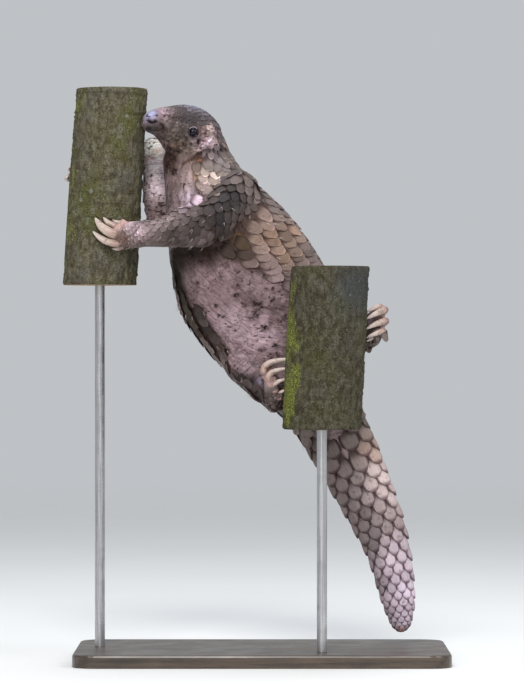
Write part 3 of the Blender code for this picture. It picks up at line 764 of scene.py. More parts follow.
BODY_WASHES = (
    (188, 178, 11, (170, 150, 148), 0.9),
    (176, 186, 8, (122, 104, 98), 0.8),
    (190, 198, 10, (206, 188, 200), 0.95),
    (199, 205, 9, (226, 208, 226), 0.95),
    (172, 208, 8, (160, 142, 146), 0.7),
    # The far forearm's pale skin, brightened to white as painted light where it lies in shade
    (152, 148, 12, (255, 255, 246), 1.0),
    (153, 168, 12, (255, 244, 250), 1.0),
    (156, 188, 12, (248, 230, 240), 0.95),
    (158, 210, 8, (138, 120, 118), 0.9),
    (240, 300, 60, (140, 119, 123), 0.8),
    (218, 290, 22, (134, 112, 114), 0.75),
    (250, 278, 16, (150, 131, 134), 0.5),
    (262, 336, 20, (196, 172, 182), 0.9),
    (232, 322, 16, (182, 160, 168), 0.8),
    (285, 300, 12, (150, 130, 134), 0.6),
    # Partly mud, partly painted shade: the near arm's shadow on the belly below it, then the shade along the
    # belly's left edge
    (182, 250, 15, (34, 26, 19), 0.97),
    (206, 249, 14, (32, 24, 16), 0.97),
    (228, 251, 10, (54, 40, 29), 0.9),
    (173, 266, 11, (48, 41, 27), 0.97),
    (173, 284, 13, (50, 42, 26), 0.97),
    (180, 304, 13, (50, 42, 26), 0.97),
    (189, 322, 12, (52, 40, 26), 0.97),
    (200, 342, 10, (58, 40, 28), 0.97),
    (176, 274, 12, (21, 16, 3), 1.0),
    (180, 290, 12, (20, 15, 3), 1.0),
    (187, 306, 12, (18, 13, 2), 1.0),
    (195, 322, 11, (24, 17, 6), 1.0),
    (208, 342, 8, (50, 36, 28), 0.95),
    (175, 255, 11, (26, 20, 8), 1.0),
    (192, 254, 12, (30, 22, 16), 0.95),
    (209, 256, 11, (28, 20, 13), 0.9),
    (181, 264, 8, (40, 33, 21), 0.95),
    (248, 262, 10, (88, 70, 60), 0.8),
    (238, 350, 11, (178, 158, 166), 0.9),
    (250, 366, 10, (176, 156, 162), 0.9),
    (226, 359, 6, (42, 34, 38), 0.95),
    # Painted shade over the hind leg and foot, partly their dark scales
    (250, 383, 12, (20, 15, 17), 0.97),
    (196, 205, 8, (250, 226, 248), 0.95),
    # Painted shade over the hind leg and foot, partly their dark scales
    (244, 388, 12, (36, 28, 30), 0.95),
    (262, 398, 12, (44, 34, 34), 0.95),
    (236, 234, 12, (84, 64, 36), 0.85),
    # Partly mud, partly painted shadow in the armpit
    (226, 243, 12, (32, 22, 11), 0.97),
    (262, 228, 16, (134, 110, 94), 0.92),
    (276, 250, 14, (124, 104, 88), 0.9),
    (284, 226, 11, (140, 116, 100), 0.85),
    (256, 212, 11, (132, 112, 104), 0.8),
    (270, 200, 12, (98, 88, 88), 0.75),
    (222, 208, 18, (36, 33, 35), 0.97),
    (238, 192, 12, (32, 30, 31), 0.8),
    (220, 212, 15, (34, 31, 31), 0.7),
    (234, 190, 15, (42, 40, 42), 0.92),
    (246, 206, 9, (78, 70, 70), 0.8),
    (208, 168, 9, (196, 180, 172), 0.95),
    (202, 186, 8, (172, 154, 150), 0.85),
    (212, 184, 6, (130, 114, 110), 0.7),
    (216, 158, 7, (112, 106, 108), 0.8),
    (216, 150, 6, (124, 116, 116), 0.8),
    (228, 170, 9, (78, 73, 76), 0.85),
    (200, 222, 13, (44, 38, 36), 0.95),
    (190, 208, 8, (146, 130, 136), 0.8),
    (178, 232, 13, (50, 42, 41), 0.92),
    (164, 234, 9, (84, 72, 70), 0.8),
    (160, 221, 8, (150, 134, 138), 0.85),
    (174, 215, 7, (132, 118, 120), 0.7),
    (146, 240, 8, (88, 72, 70), 0.85),
    # Pale skin along the top of the near forearm and hand, with a painted highlight
    (144, 227, 9, (176, 156, 164), 0.9),
    (132, 222, 8, (222, 198, 210), 0.95),
    (126, 238, 8, (96, 72, 66), 0.9),
    (118, 228, 6, (188, 160, 158), 0.9),
    # Painted sheen: a blue shine on the knee
    (262, 382, 5, (142, 136, 158), 0.7),
    (270, 370, 7, (160, 128, 112), 0.9),
    (197, 163, 3.5, (166, 134, 110), 0.6),
    (195, 173, 3.5, (160, 128, 104), 0.6),
    (199, 183, 3.5, (180, 144, 116), 0.5),
    (206, 172, 2.5, (168, 136, 112), 0.5),
    (382, 480, 46, (182, 166, 166), 0.9),
    (396, 570, 40, (190, 174, 186), 0.9),
    (366, 436, 14, (182, 154, 138), 0.8),
    (372, 462, 14, (206, 190, 186), 0.85),
    # Darker along the tail's left side: painted shade
    (360, 502, 15, (78, 70, 72), 0.7),
    (366, 526, 14, (80, 71, 73), 0.7),
    (392, 500, 14, (158, 142, 140), 0.9),
    (392, 540, 16, (194, 180, 190), 0.9),
    (402, 580, 17, (206, 192, 208), 0.95),
    # Darker along the tail's left side: painted shade
    (377, 574, 13, (78, 68, 71), 0.7),
    (386, 604, 6, (128, 114, 118), 0.7),
    (402, 612, 12, (200, 186, 204), 0.95),
    (400, 634, 5, (206, 150, 130), 1.0),
)
# Mud on the bare skin: pixel and radius in pixels.
MUD = (
    (201, 262, 2.8), (217, 251, 3.6), (233, 258, 3.6), (265, 277, 2.6), (252, 272, 2),
    (239, 286, 2), (236, 295, 2.6), (259, 306, 4.6), (256, 315, 3.2), (272, 301, 2),
    (279, 321, 3.2), (285, 317, 2.8), (265, 328, 3.4), (203, 308, 1.6), (216, 306, 1.6),
    (225, 348, 3), (275, 346, 3.2), (262, 349, 2.8), (270, 356, 3.4), (278, 354, 2.6),
    (266, 288, 1.8), (273, 289, 1.8), (250, 262, 2.4), (210, 248, 3.6), (171, 157, 5),
    (167, 166, 5), (177, 151, 3.2), (174, 172, 3.6), (177, 145, 2.4), (191, 145, 1.8),
    (170, 149, 3.4), (197, 283, 1.6), (243, 305, 1.6), (226, 268, 1.8), (164, 172, 3),
    (169, 143, 2.2), (184, 145, 2.2), (162, 127, 2.4), (177, 119, 2.2), (189, 113, 2.2),
    (200, 118, 2.4),
)
# Ochre soil caught in folds and under scale edges: pixel, radius in pixels and colour.
SOIL = (
    (156.5, 150.2, 3.4, (206, 140, 96)), (149.8, 157.6, 3.6, (202, 132, 84)),
    (153.5, 154, 2.2, (206, 158, 120)), (199, 161, 2.6, (170, 112, 72)),
    (195, 168, 2.8, (178, 124, 86)), (197, 178, 2.8, (176, 132, 98)),
    (206, 152, 2.4, (120, 76, 50)), (190, 328, 3.4, (140, 90, 60)), (201, 346, 3.4, (128, 78, 52)),
    (206, 335, 2.8, (140, 98, 74)), (238, 236, 5, (118, 88, 44)),
)


def washed(points, colour, washes, near_side=False):
    """Lays soft patches of colour over a colour for each point."""
    where = mirrored(points) if near_side else points
    for px, py, radius, wash, strength in washes:
        colour = blended(colour, wash, about(where, on_skin(px, py), radius * PIXEL) * strength)
    return colour


# The near arm shades these pixels, left and right then top and bottom, but nothing on the far side.
SHADED = (176, 242, 230, 262)


def washed_body(points, colour):
    """The body's washes, with the hidden side coloured like the side that shows."""
    twins, hidden = hidden_twins(points)
    left, right, top, bottom = SHADED
    open_washes = [w for w in BODY_WASHES if not (left < w[0] < right and top < w[1] < bottom)]
    shown = washed(points, colour, BODY_WASHES)
    return shown + (washed(twins, colour, open_washes) - shown) * hidden[:, None]


def washed_all(points, colour, is_head, on_body, on_limb):
    """Every wash, on the parts that it belongs to."""
    colour[is_head] = washed(points[is_head], colour[is_head], HEAD_WASHES, near_side=True)
    colour[on_body] = washed_body(points[on_body], colour[on_body])
    colour[on_limb] = washed(points[on_limb], colour[on_limb], BODY_WASHES)
    return colour


def spotted(points, colour):
    """Mud and soil, broken into crumbs."""
    drift = np.column_stack([lumps(points, 0.0032, seed) for seed in (21, 22, 23)]) * 0.0024
    moved = points + drift
    crumbs = ease(layered(points, 0.0023, 61), -0.30, 0.25)
    for px, py, radius in MUD:
        gap = np.linalg.norm(moved - on_skin(px, py), axis=1) / (radius * PIXEL)
        colour = blended(colour, (100, 74, 66), bell(gap, 0, 1.7) * 0.25)
        colour = blended(colour, (24, 15, 13), ease(gap, 1.7, 0.5) * (0.35 + 0.65 * crumbs) * 0.96)
    for px, py, radius, soil in SOIL:
        flat = (moved - on_skin(px, py)) * (0.75, 1.0, 1.7)
        gap = np.linalg.norm(flat, axis=1) / (radius * PIXEL)
        colour = blended(colour, soil, ease(gap, 1.5, 0.2) * (0.25 + 0.75 * crumbs) * 0.85)
    return colour


# Marks of colour on the head along lines of pixels: half width in millimetres, colour and strength. The dark
# marks in the nostril, along the mouth and its corner, in the ear hole and along the crease under the ear's
# ridge are painted shade in those hollows, the crease's also partly brown soil; the pale marks are the
# skin's own colour.
HEAD_MARKS = (
    (((148.2, 120.6), (150.4, 122.2), (153.2, 122.6), (155.6, 121.4)), 2.3, (15, 11, 13), 1),
    (((149, 121.2), (150.6, 122.2)), 2.6, (12, 9, 11), 0.9),
    (HEAD_FOLDS[2][0], 1, (44, 37, 37), 0.9),
    (HEAD_FOLDS[4][0], 2.4, (52, 43, 40), 0.85),
    (HEAD_FOLDS[8][0], 1.8, (30, 22, 26), 1),
    (HEAD_FOLDS[5][0], 1.9, (84, 52, 38), 0.8),
    (((210, 125), (209, 130), (210.5, 134)), 2.4, (160, 144, 138), 0.75),
    (((213, 137.5), (208.5, 143.5), (201, 149)), 2.6, (192, 174, 182), 0.9),
    (((201, 149), (195, 153), (188, 157)), 2, (132, 114, 108), 0.8),
    (((206.5, 140), (202.5, 143.5)), 2.6, (168, 138, 150), 0.8),
    # Painted shade along the grooves behind and in front of the eye
    (((199.5, 126), (201, 130), (200, 135)), 1.8, (66, 56, 54), 0.7),
    (((205.5, 126), (206, 133)), 1.6, (70, 54, 48), 0.6),
    (((184, 128), (184.6, 134), (187, 139)), 2.2, (62, 52, 50), 0.6),
)


def eye_surround(points, kind, colour):
    """Dark skin round each eye, with a pale upper lid and a faint lower one."""
    for side in EYES:
        forward, out, up = ((points - EYES[side]) @ HEAD_AXES.T).T
        ring = eye_ring(forward, up)
        close = (np.abs(out) < 0.012) & np.isin(kind, HEAD_KINDS)
        bands = (
            ((66, 56, 56), ease(ring, 2.3, 1.2) * 0.75),
            ((26, 20, 22), ease(ring, 1.48, 1.22)),
            ((176, 166, 178), bell(ring, 1.24, 0.09) * ease(up, 0.0035, 0.0060) * 0.9),
            ((110, 98, 112), bell(ring, 1.62, 0.14) * ease(up, -0.001, -0.004) * 0.35),
        )
        for display, share in bands:
            colour = blended(colour, display, share * close)
    return colour


def skin_colours(points, label, bare):
    """The skin's colour at each point, and how far each belongs to the smooth nose."""
    kind = kind_of(label)
    is_head = np.isin(kind, (*HEAD_KINDS, "neck"))
    on_body, on_limb = np.isin(kind, BODY_KINDS), np.isin(kind, LIMB_KINDS)
    colour = np.broadcast_to(linear(*SKIN_BASE), (len(points), 3)).copy()
    colour = washed_all(points, colour, is_head, on_body, on_limb)
    colour = blended(colour, TOE_COLOUR, toe_reach(points) * np.where(kind == "foot", 0.3, 0.6))
    tip = about(points, on_skin(401, 634), 0.009)
    chest = about(points, on_skin(195, 202), 0.013)
    # Painted shade on the skin under the scales, left off at the tail's tip and on a patch of the chest
    under_scale_shade = (1 - bare) * (on_body | on_limb) * (1 - 0.9 * tip) * (1 - 0.95 * chest)
    colour = blended(colour, SHADE_UNDER_SCALES, under_scale_shade * 0.9)
    near_side = mirrored(points)
    for pixels, half, shade, strength in HEAD_MARKS:
        colour = blended(colour, shade, stripe(near_side, pixels, half) * is_head * strength)
    # Grain and pale flakes on the head, then mottling everywhere
    forward, _, up = in_head(points).T
    face = np.isin(kind, ("head", "ear")) * ease(forward, 0.092, 0.078)
    grain = 0.55 * layered(points * (1, 1, 1.3), 0.0062, 51) + 0.46 * layered(points, 0.0024, 55)
    colour = colour * np.exp(face * grain)[:, None]
    flakes = ease(lumps(points, 0.0017, 57), 0.62, 0.85) * ease(up, 0.002, 0.016)
    colour = blended(colour, (186, 178, 180), flakes * face * 0.75)
    mottle = 0.22 * layered(points, 0.012, 31) + 0.20 * layered(points, 0.0028, 35)
    colour = colour * (1 + mottle)[:, None]
    # Grime in ragged patches on the belly
    grime = ease(layered(points, 0.016, 37) + 0.5 * layered(points, 0.0034, 39), 0.05, 0.75)
    colour = blended(colour, (72, 56, 54), grime * np.isin(kind, ("trunk", "leg")) * 0.5)
    # Small dark specks, thick on the far forearm
    fore = (label == FILLED.index("arm_right_fore")) * ease(points[:, 2], 0.70, 0.64)
    cluster = 0.35 * lumps(points, 0.012, 42) + 0.42 * fore
    specks = ease(lumps(points, (0.0034, 0.003, 0.0021), 41) + cluster, 0.60, 0.78)
    colour = blended(colour, (48, 34, 33), specks * 0.85)
    colour = eye_surround(points, kind, spotted(points, colour))
    return np.clip(colour, 0.002, 1), ease(forward, 0.094, 0.100) * (kind == "head")


# The belly's fine folds run round this place of the photograph's plane, in metres.
BELLY_MIDDLE = (0.053, 0.644)


def skin_flow(points, label):
    """Places along and across the skin's fine folds in metres, and how deep the folds are."""
    kind = kind_of(label)
    flat = points[:, [0, 2]] - BELLY_MIDDLE
    reach = np.linalg.norm(flat, axis=1) + 0.004 * layered(points, 0.030, 3)
    turn = np.arctan2(flat[:, 0] * 0.707 - flat[:, 1] * 0.707, -(flat[:, 0] + flat[:, 1]) * 0.707)
    flow = np.column_stack((reach, turn * 0.11, points[:, 1] * 0.4))
    for name in LIMBS:
        here = label == FILLED.index(name)
        if "thigh" not in name:
            along = limb_line(name)[2]
            across = points[here] @ np.roll(along, 1)
            flow[here] = np.column_stack((points[here] @ along, across, points[here, 1] * 0.4))
    is_head = np.isin(kind, HEAD_KINDS)
    forward, left, up = in_head(points).T
    jaw = np.column_stack((up * 0.8 - forward * 0.45, forward * 0.7 + up * 0.5, left))
    flow[is_head] = jaw[is_head]
    depths = [0.45 * ease(forward, 0.094, 0.080), 0.6]
    return flow, np.select([is_head, np.isin(kind, ("hand", "foot"))], depths, 1.0)


def scale_colours(roots, label):
    """Each scale's own colour, from where it grows."""
    kind = kind_of(label)
    is_head, on_body = kind == "head", np.isin(kind, BODY_KINDS)
    colour = np.where(is_head[:, None], linear(*SCALE_ON_HEAD), linear(*SCALE_BASE))
    colour = washed_all(roots, colour, is_head, on_body, ~is_head & ~on_body)
    return np.clip(colour * (1 + 0.12 * layered(roots, 0.022, 83)[:, None]), 0.004, 1)


# Scales. Rows run round a line inside the body; every second row is shifted by one column.
# A scale at least this wide on either side of its middle has its full relief and thickness.
FULL_HALF_WIDTH = 0.008
# How far a scale's root is sunk in the skin, and the size of one scale on the coat's map.
ROOT_DEPTH = 0.0003
MAP_PATCH = 0.003


@dataclass
class Root:
    """Where one scale grows; share is how far along its line, and spot its place on the map."""

    place: np.ndarray
    normal: np.ndarray
    lie: np.ndarray
    half: float
    length: float
    coat: float
    share: float
    spot: np.ndarray
    style: str
    rim: float

    def __post_init__(self):
        self.lie = unit(self.lie - self.normal * (self.lie @ self.normal))


def cast(origin, direction, reach=0.12):
    """The outermost skin point along a ray from inside, its normal and its part's number."""
    hit = SKIN_TREE.ray_cast(origin, direction, reach)
    if hit[0] is None:
        return None
    face = SKIN_FACES[hit[2]]
    return np.array(hit[0]), unit(SKIN_NORMALS[face].sum(0)), int(SKIN_LABEL[face[0]])


# Nearest that a new root may lie to a recent root of its lattice and to a root of another one, in
# columns, and how many recent roots are looked at.
NEAREST_OWN, NEAREST_OTHER = 0.42, 0.72
RECENT = 160
# Map height that one metre round a limb or the body takes up, as a share of the lattice's part.
MAP_ROUND = 2.2


class Lattice:
    """Lays rows of scale roots along a line, with quincunx columns measured along the skin."""

    def __init__(self, allowed, zone, others=()):
        self.allowed = {FILLED.index(n) for n in allowed}
        self.zone = zone
        self.others = np.array([r.place for r in others]).reshape(-1, 3)
        self.roots = []

    def section(self, facts, steps=40):
        """Lengths along the skin and their angles from the outer side, each way round."""
        centre, out = facts["centre"], facts["out"]
        side = np.cross(facts["along"], out)
        found = []
        for sign in (1, -1):
            lengths, angles, last = [0.0], [0.0], None
            for k in range(steps + 1):
                a = math.pi * k / steps
                hit = cast(centre, out * math.cos(a) + side * math.sin(a) * sign)
                if hit is None:
                    break
                if last is not None:
                    lengths.append(lengths[-1] + min(float(np.linalg.norm(hit[0] - last)), 0.02))
                    angles.append(a)
                last = hit[0]
            found.append((np.array(lengths), np.array(angles)))
        return found

    def column_at(self, facts, found, k):
        """Column k's place on the skin, its angle, its length round the skin and its width."""
        near = k >= 0
        lengths, angles = found[0 if near else 1]
        column = lengths[-1] / (facts["even"] / 2) if facts.get("even") else facts["column"]
        arc = abs(k) * column
        if arc > lengths[-1] + 1e-6:
            return None
        angle = float(np.interp(arc, lengths, angles))
        side = np.cross(facts["along"], facts["out"]) * (1 if near else -1)
        hit = cast(facts["centre"], facts["out"] * math.cos(angle) + side * math.sin(angle))
        return hit and (hit, math.degrees(angle), arc if near else -arc, column)

    def lay(self, start, end, at):
        """Walks the line; at(t) gives the row's facts, and the step in t for one metre."""
        t, row = start, 0
        while t < end:
            facts = at(t)
            ahead = at(t + 0.45 * facts["repeat"] * facts["rate"])
            here = self.section(facts)
            there = None if "droop" in facts else self.section(ahead)
            limit = (facts.get("even") or 120) // 2
            for k in range(-limit + 1, limit + 1):
                if (k - row) % 2:
                    continue
                spot = self.column_at(facts, here, k)
                bare = facts["bare"][0 if k >= 0 else 1]
                if spot is None or (bare and spot[1] > 180 - bare + RANDOM.uniform(-3, 3)):
                    continue
                onward = there and self.column_at(ahead, there, k)
                self.add(facts, spot, onward)
            t += facts["repeat"] / 2 * facts["rate"]
            row += 1

    def add(self, facts, spot, onward):
        (place, normal, label), _, arc, column = spot
        if label not in self.allowed or self.blocked(place, facts):
            return
        lie = facts["along"] + np.array((0, 0, -1.0)) * facts.get("droop", 0)
        if onward:
            step = onward[0][0] - place
            if 0.2 * facts["repeat"] < np.linalg.norm(step) < 1.2 * facts["repeat"]:
                lie = unit(step)
        lie = unit(lie - normal * (lie @ normal))
        jitter, uneven = (0.05, 0.03) if facts["style"] == "tail" else (0.12, 0.09)
        lie = lie + np.cross(normal, lie) * RANDOM.uniform(-1, 1) * jitter
        size = 1 + RANDOM.uniform(-1, 1) * uneven
        left, bottom, width, height = self.zone
        root = Root(
            place=place,
            normal=normal,
            lie=lie,
            half=column * facts["wide"] / 2 * size * RANDOM.uniform(0.95, 1.05),
            length=facts["repeat"] * facts["long"] * size,
            coat=facts["coat"] * RANDOM.uniform(0.9, 1.12),
            share=facts["share"],
            spot=np.array((left + width * facts["share"], bottom + height * (0.5 + arc * MAP_ROUND))),
            style=facts["style"],
            rim=facts.get("rim", 0.25),
        )
        self.roots.append(root)

    def blocked(self, place, facts):
        """True where another root is too near, or on bare skin."""
        for root in self.roots[-RECENT:]:
            if np.linalg.norm(root.place - place) < NEAREST_OWN * facts["column"]:
                return True
        if len(self.others):
            gap = np.linalg.norm(self.others - place, axis=1).min()
            if gap < NEAREST_OTHER * facts["column"]:
                return True
        return facts["keep_off"](place) if "keep_off" in facts else False


def body_facts(t):
    """Rows from the nape to the tail's tip, t counted in stations."""
    *_, half, column, repeat, wide, coat = body_row(t)
    centre, along, under = body_axes(t)
    step = np.linalg.norm(body_row(t + 0.02)[:3] - body_row(t - 0.02)[:3]) * MM / 0.04
    tail = ease(t, 8.6, 9.4)
    half = half if half > 2 else 0
    facts = {
        "centre": centre,
        "along": along,
        "out": -under,
        "bare": (half, max(half - far_narrowing(t), 0)),
        "column": column * MM,
        "even": TAIL_COLUMNS if t >= TAIL_EVEN_FROM else None,
        "repeat": repeat * MM,
        "wide": wide,
        "long": 1.52 if t < 3.4 else 1.34 - 0.30 * tail,
        "coat": coat * MM,
        "rate": 1 / step,
        "share": max(t, 0) / (len(BODY) - 1),
        "style": "tail" if t > 9.3 else "neck" if t < 3.2 else "back",
        "rim": 0.7 if t < 3.4 else 0.45 - 1.45 * tail,
    }
    if t < 4:
        facts["keep_off"] = in_face
    return facts


def head_facts(t):
    """Rows from the bridge of the nose, t = 0, to the nape, t = 1."""
    forward = 0.083 - 0.082 * t
    centre = HEAD_PIVOT + np.array((forward, 0, 0.012 - 0.014 * t)) @ HEAD_AXES
    column = (2.4 + 3.2 * t) * MM
    return {
        "centre": centre,
        "along": -HEAD_AXES[0] + np.array((0, 0, -0.5 * t)),
        "out": unit(HEAD_AXES[2] - HEAD_AXES[0] * 0.5 * t),
        "bare": (96 - 46 * t, 96 - 46 * t),
        "column": column,
        "repeat": column * 2.1,
        "wide": 1.75,
        "long": 1.28,
        "coat": (0.6 + 0.7 * t) * MM,
        "rate": 1 / 0.082,
        "share": t / 1.3,
        "style": "head",
        "rim": 0.1,
        "keep_off": in_face,
    }


def limb_facts(name):
    """Rows along one piece of a limb, as a function of t from 0 at its start to 1 at its end."""
    *_, columns, depths, half, droops = LIMBS[name]
    a, b, along, out = limb_line(name)
    small = name.startswith(("hand", "foot"))

    def at(t):
        column = between(columns, t) * MM
        return {
            "centre": a + (b - a) * t,
            "along": along,
            "out": out,
            "bare": (half, half),
            "column": column,
            "repeat": column * (1.8 if small else 2.0),
            "wide": 1.75,
            "long": 1.30,
            "coat": between(depths, t) * MM,
            "rate": 1 / np.linalg.norm(b - a),
            "droop": between(droops, t),
            "share": t,
            "style": "small" if small else "limb",
            "rim": 0.9 if small else (0.2 + 0.8 * t if "fore" in name else 0.25),
        }

    return at


# Outline and relief of a scale by style: width at the root and at the tip, roundness of the tip,
# pillow height, keel height and furrow depth in millimetres, and thickness.
STYLES = {
    "head": (0.82, 0.86, 0.32, 0.25, 0.00, 0.03, 0.4),
    "neck": (0.76, 0.84, 0.30, 0.55, 0.05, 0.05, 0.8),
    "back": (0.74, 0.74, 0.34, 0.50, 0.25, 0.13, 1.0),
    "tail": (0.84, 0.80, 0.24, 1.90, 0.00, 0.05, 1.2),
    "limb": (0.76, 0.80, 0.32, 0.60, 0.25, 0.06, 0.9),
    "small": (0.78, 0.84, 0.34, 0.30, 0.05, 0.04, 0.5),
}


def grid_faces(across, along):
    """Faces of one scale: a fine upper side, a plain underside and a closed rim."""
    upper = np.arange((across + 1) * (along + 1)).reshape(along + 1, -1)
    top, low = upper.tolist(), (np.arange(3 * (along + 1)).reshape(-1, 3) + upper.size).tolist()
    faces = []
    for a, b, under, beyond in zip(top, top[1:], low, low[1:]):
        faces += [(a[i], a[i + 1], b[i + 1], b[i]) for i in range(across)]
        faces += [(under[i], beyond[i], beyond[i + 1], under[i + 1]) for i in range(2)]
        faces.append((a[0], b[0], beyond[0], under[0]))
        faces.append((b[-1], a[-1], under[2], beyond[2]))
    for a, under, turn in ((top[0], low[0], 1), (top[-1], low[-1], -1)):
        ends = [(a[0], under[0], under[1]), (a[-1], under[1], under[2])]
        ends += [(a[i], under[1], a[i + 1]) for i in range(across)]
        faces += [face[::turn] for face in ends]
    return faces


def scale_grid(across, along):
    """Places across and along a scale, its faces, and the upper points above its underside's."""
    turn = math.pi / 2 * 0.86
    u, v = np.meshgrid(
        np.sin(np.linspace(-1, 1, across + 1) * turn) / math.sin(turn),
        np.linspace(0, 1, along + 1) ** 0.85,
    )
    low = [j * (across + 1) + i for j in range(along + 1) for i in (0, across // 2, across)]
    return u.ravel(), v.ravel(), grid_faces(across, along), low


GRIDS = {"fine": scale_grid(18, 12), "small": scale_grid(10, 7)}


# Rays that feel for the skin under a scale: their start above its root, their length, and the
# lowest and highest skin they may report, as a share of the distance from the root.
FEEL_FROM, FEEL_REACH = 0.010, 0.030
FEEL_LOW, FEEL_HIGH = -0.75, 0.22


def seat(root, x, y):
    """Height of the skin's smooth shape under a scale, and its slopes, from a few rays."""
    side = np.cross(root.normal, root.lie)
    rows = []
    for j in np.linspace(-0.05, 1.0, 5):
        for i in np.linspace(-0.95, 0.95, 5):
            px, py = i * root.half, j * root.length
            start = root.place + side * px + root.lie * py + root.normal * FEEL_FROM
            hit = SKIN_TREE.ray_cast(start, -root.normal, FEEL_REACH)
            reach = math.hypot(px, py)
            z = (FEEL_FROM - hit[3]) if hit[0] is not None else -reach * 0.5
            rows.append((px, py, float(np.clip(z, FEEL_LOW * reach, FEEL_HIGH * reach))))
    px, py, z = np.array(rows).T
    basis = np.column_stack((px, py, px * px, px * py, py * py))
    c, *_ = np.linalg.lstsq(basis, z, rcond=None)
    height = c[0] * x + c[1] * y + c[2] * x * x + c[3] * x * y + c[4] * y * y
    slope_x = c[0] + 2 * c[2] * x + c[3] * y
    slope_y = c[1] + c[3] * x + 2 * c[4] * y
    return side, height, slope_x, slope_y


def scale_points(root, number):
    """Points of one scale, its faces, its values across, along and by chance, and its map places."""
    u, v, faces, low = GRIDS["small" if root.style in ("head", "small") else "fine"]
    at_root, at_tip, roundness, pillow, keel, furrow, thick = STYLES[root.style]
    shift = RANDOM.uniform(0, 100)
    chance = RANDOM.uniform(0, 1)

    def waves(a, b, size, seed):
        return lumps(np.column_stack((a + shift, b, np.full_like(u, number))), size, seed)

    swell = np.where(
        v < 0.5,
        at_root + (1 - at_root) * np.sin(v * math.pi),
        1 - (1 - at_tip) * (np.maximum(v - 0.5, 0) / 0.5) ** 2.2,
    )
    x = u * root.half * swell
    tip = 1 - roundness * np.abs(u) ** 2.6 * v**3 + 0.035 * waves(u * 2.2, v * 0.5, 0.6, 3) * v**4
    y = root.length * (v * tip - 0.03)
    side, height, slope_x, slope_y = seat(root, x, y)
    normal = unit(root.normal - side * slope_x[:, None] - root.lie * slope_y[:, None])
    base = root.place + side * x[:, None] + root.lie * y[:, None] + root.normal * height[:, None]
    rise, reach = (1.3, 0.90) if root.style == "tail" else (1.5, 0.80)
    crown = pillow * (1 - np.abs(u) ** 2.2) * np.sin(v**rise * math.pi * reach)
    ridge = keel * bell(u, 0, 0.16) * v * (1.15 - v)
    fade = np.clip(v / 0.25, 0, 1) * ease(v, 1.0, 0.72)
    furrows = furrow * 1.6 * waves(u * 8, v * 0.8, 1.0, 7) * fade
    growth = 0.05 * waves(v * 9 * tip, u * 0.4, 1.0, 8) * ease(v, 0.4, 0.7)
    border = np.maximum(ease(np.abs(u), 0.80, 1.0), ease(v, 0.90, 1.0))
    # Scales narrower than full size have less relief and are thinner
    size = min(1.0, root.half / FULL_HALF_WIDTH) * MM
    relief = crown + ridge + furrows + growth - border**2 * thick * 0.45
    top = root.coat * v**1.15 - ROOT_DEPTH + relief * size
    upper = base + normal * top[:, None]
    thin = thick * size * (1 - 0.35 * border)
    every = np.append(np.arange(len(u)), low)
    points = np.vstack((upper, upper[low] - normal[low] * thin[low, None]))
    lay = np.column_stack((u[every], v[every], np.full(len(every), chance)))
    where = np.column_stack((x[every], y[every])) / root.length - (0, 0.5)
    return points, faces, lay, root.spot + where * MAP_PATCH, chance


def make_scales(name, roots, material):
    """One coat piece from its roots."""
    places = np.array([r.place for r in roots])
    label = np.array([SKIN_LABEL[SKIN_FACES[SKIN_TREE.find_nearest(p)[2]][0]] for p in places])
    spread = 0.5 if name == "scales_head" else 0.16 if "tail" in name else 0.44
    points, faces, lays, patches, tints, rims = [], [], [], [], [], []
    start = 0
    for number, (root, colour) in enumerate(zip(roots, scale_colours(places, label))):
        p, f, lay, patch, chance = scale_points(root, number)
        points.append(p)
        faces += [tuple(start + k for k in face) for face in f]
        lays.append(lay)
        patches.append(patch)
        tints.append(np.broadcast_to(colour * (1 + spread * (chance - 0.5)), (len(p), 3)))
        rims.append(np.full(len(p), root.rim))
        start += len(p)
    mesh = new_piece(name, np.vstack(points), faces, material).data
    mesh.set_sharp_from_angle(angle=math.radians(50))
    tint = np.clip(np.vstack(tints), 0, 1)
    keep_values(mesh, lay=np.vstack(lays), tint=tint, rim=np.concatenate(rims))
    add_bake_map(mesh, np.vstack(patches))


def add_bake_map(mesh, patches):
    corners = np.empty(len(mesh.loops), np.int64)
    mesh.loops.foreach_get("vertex_index", corners)
    layer = mesh.uv_layers.new(name="OFBake")
    layer.data.foreach_set("uv", patches[corners].astype(np.float32).ravel())


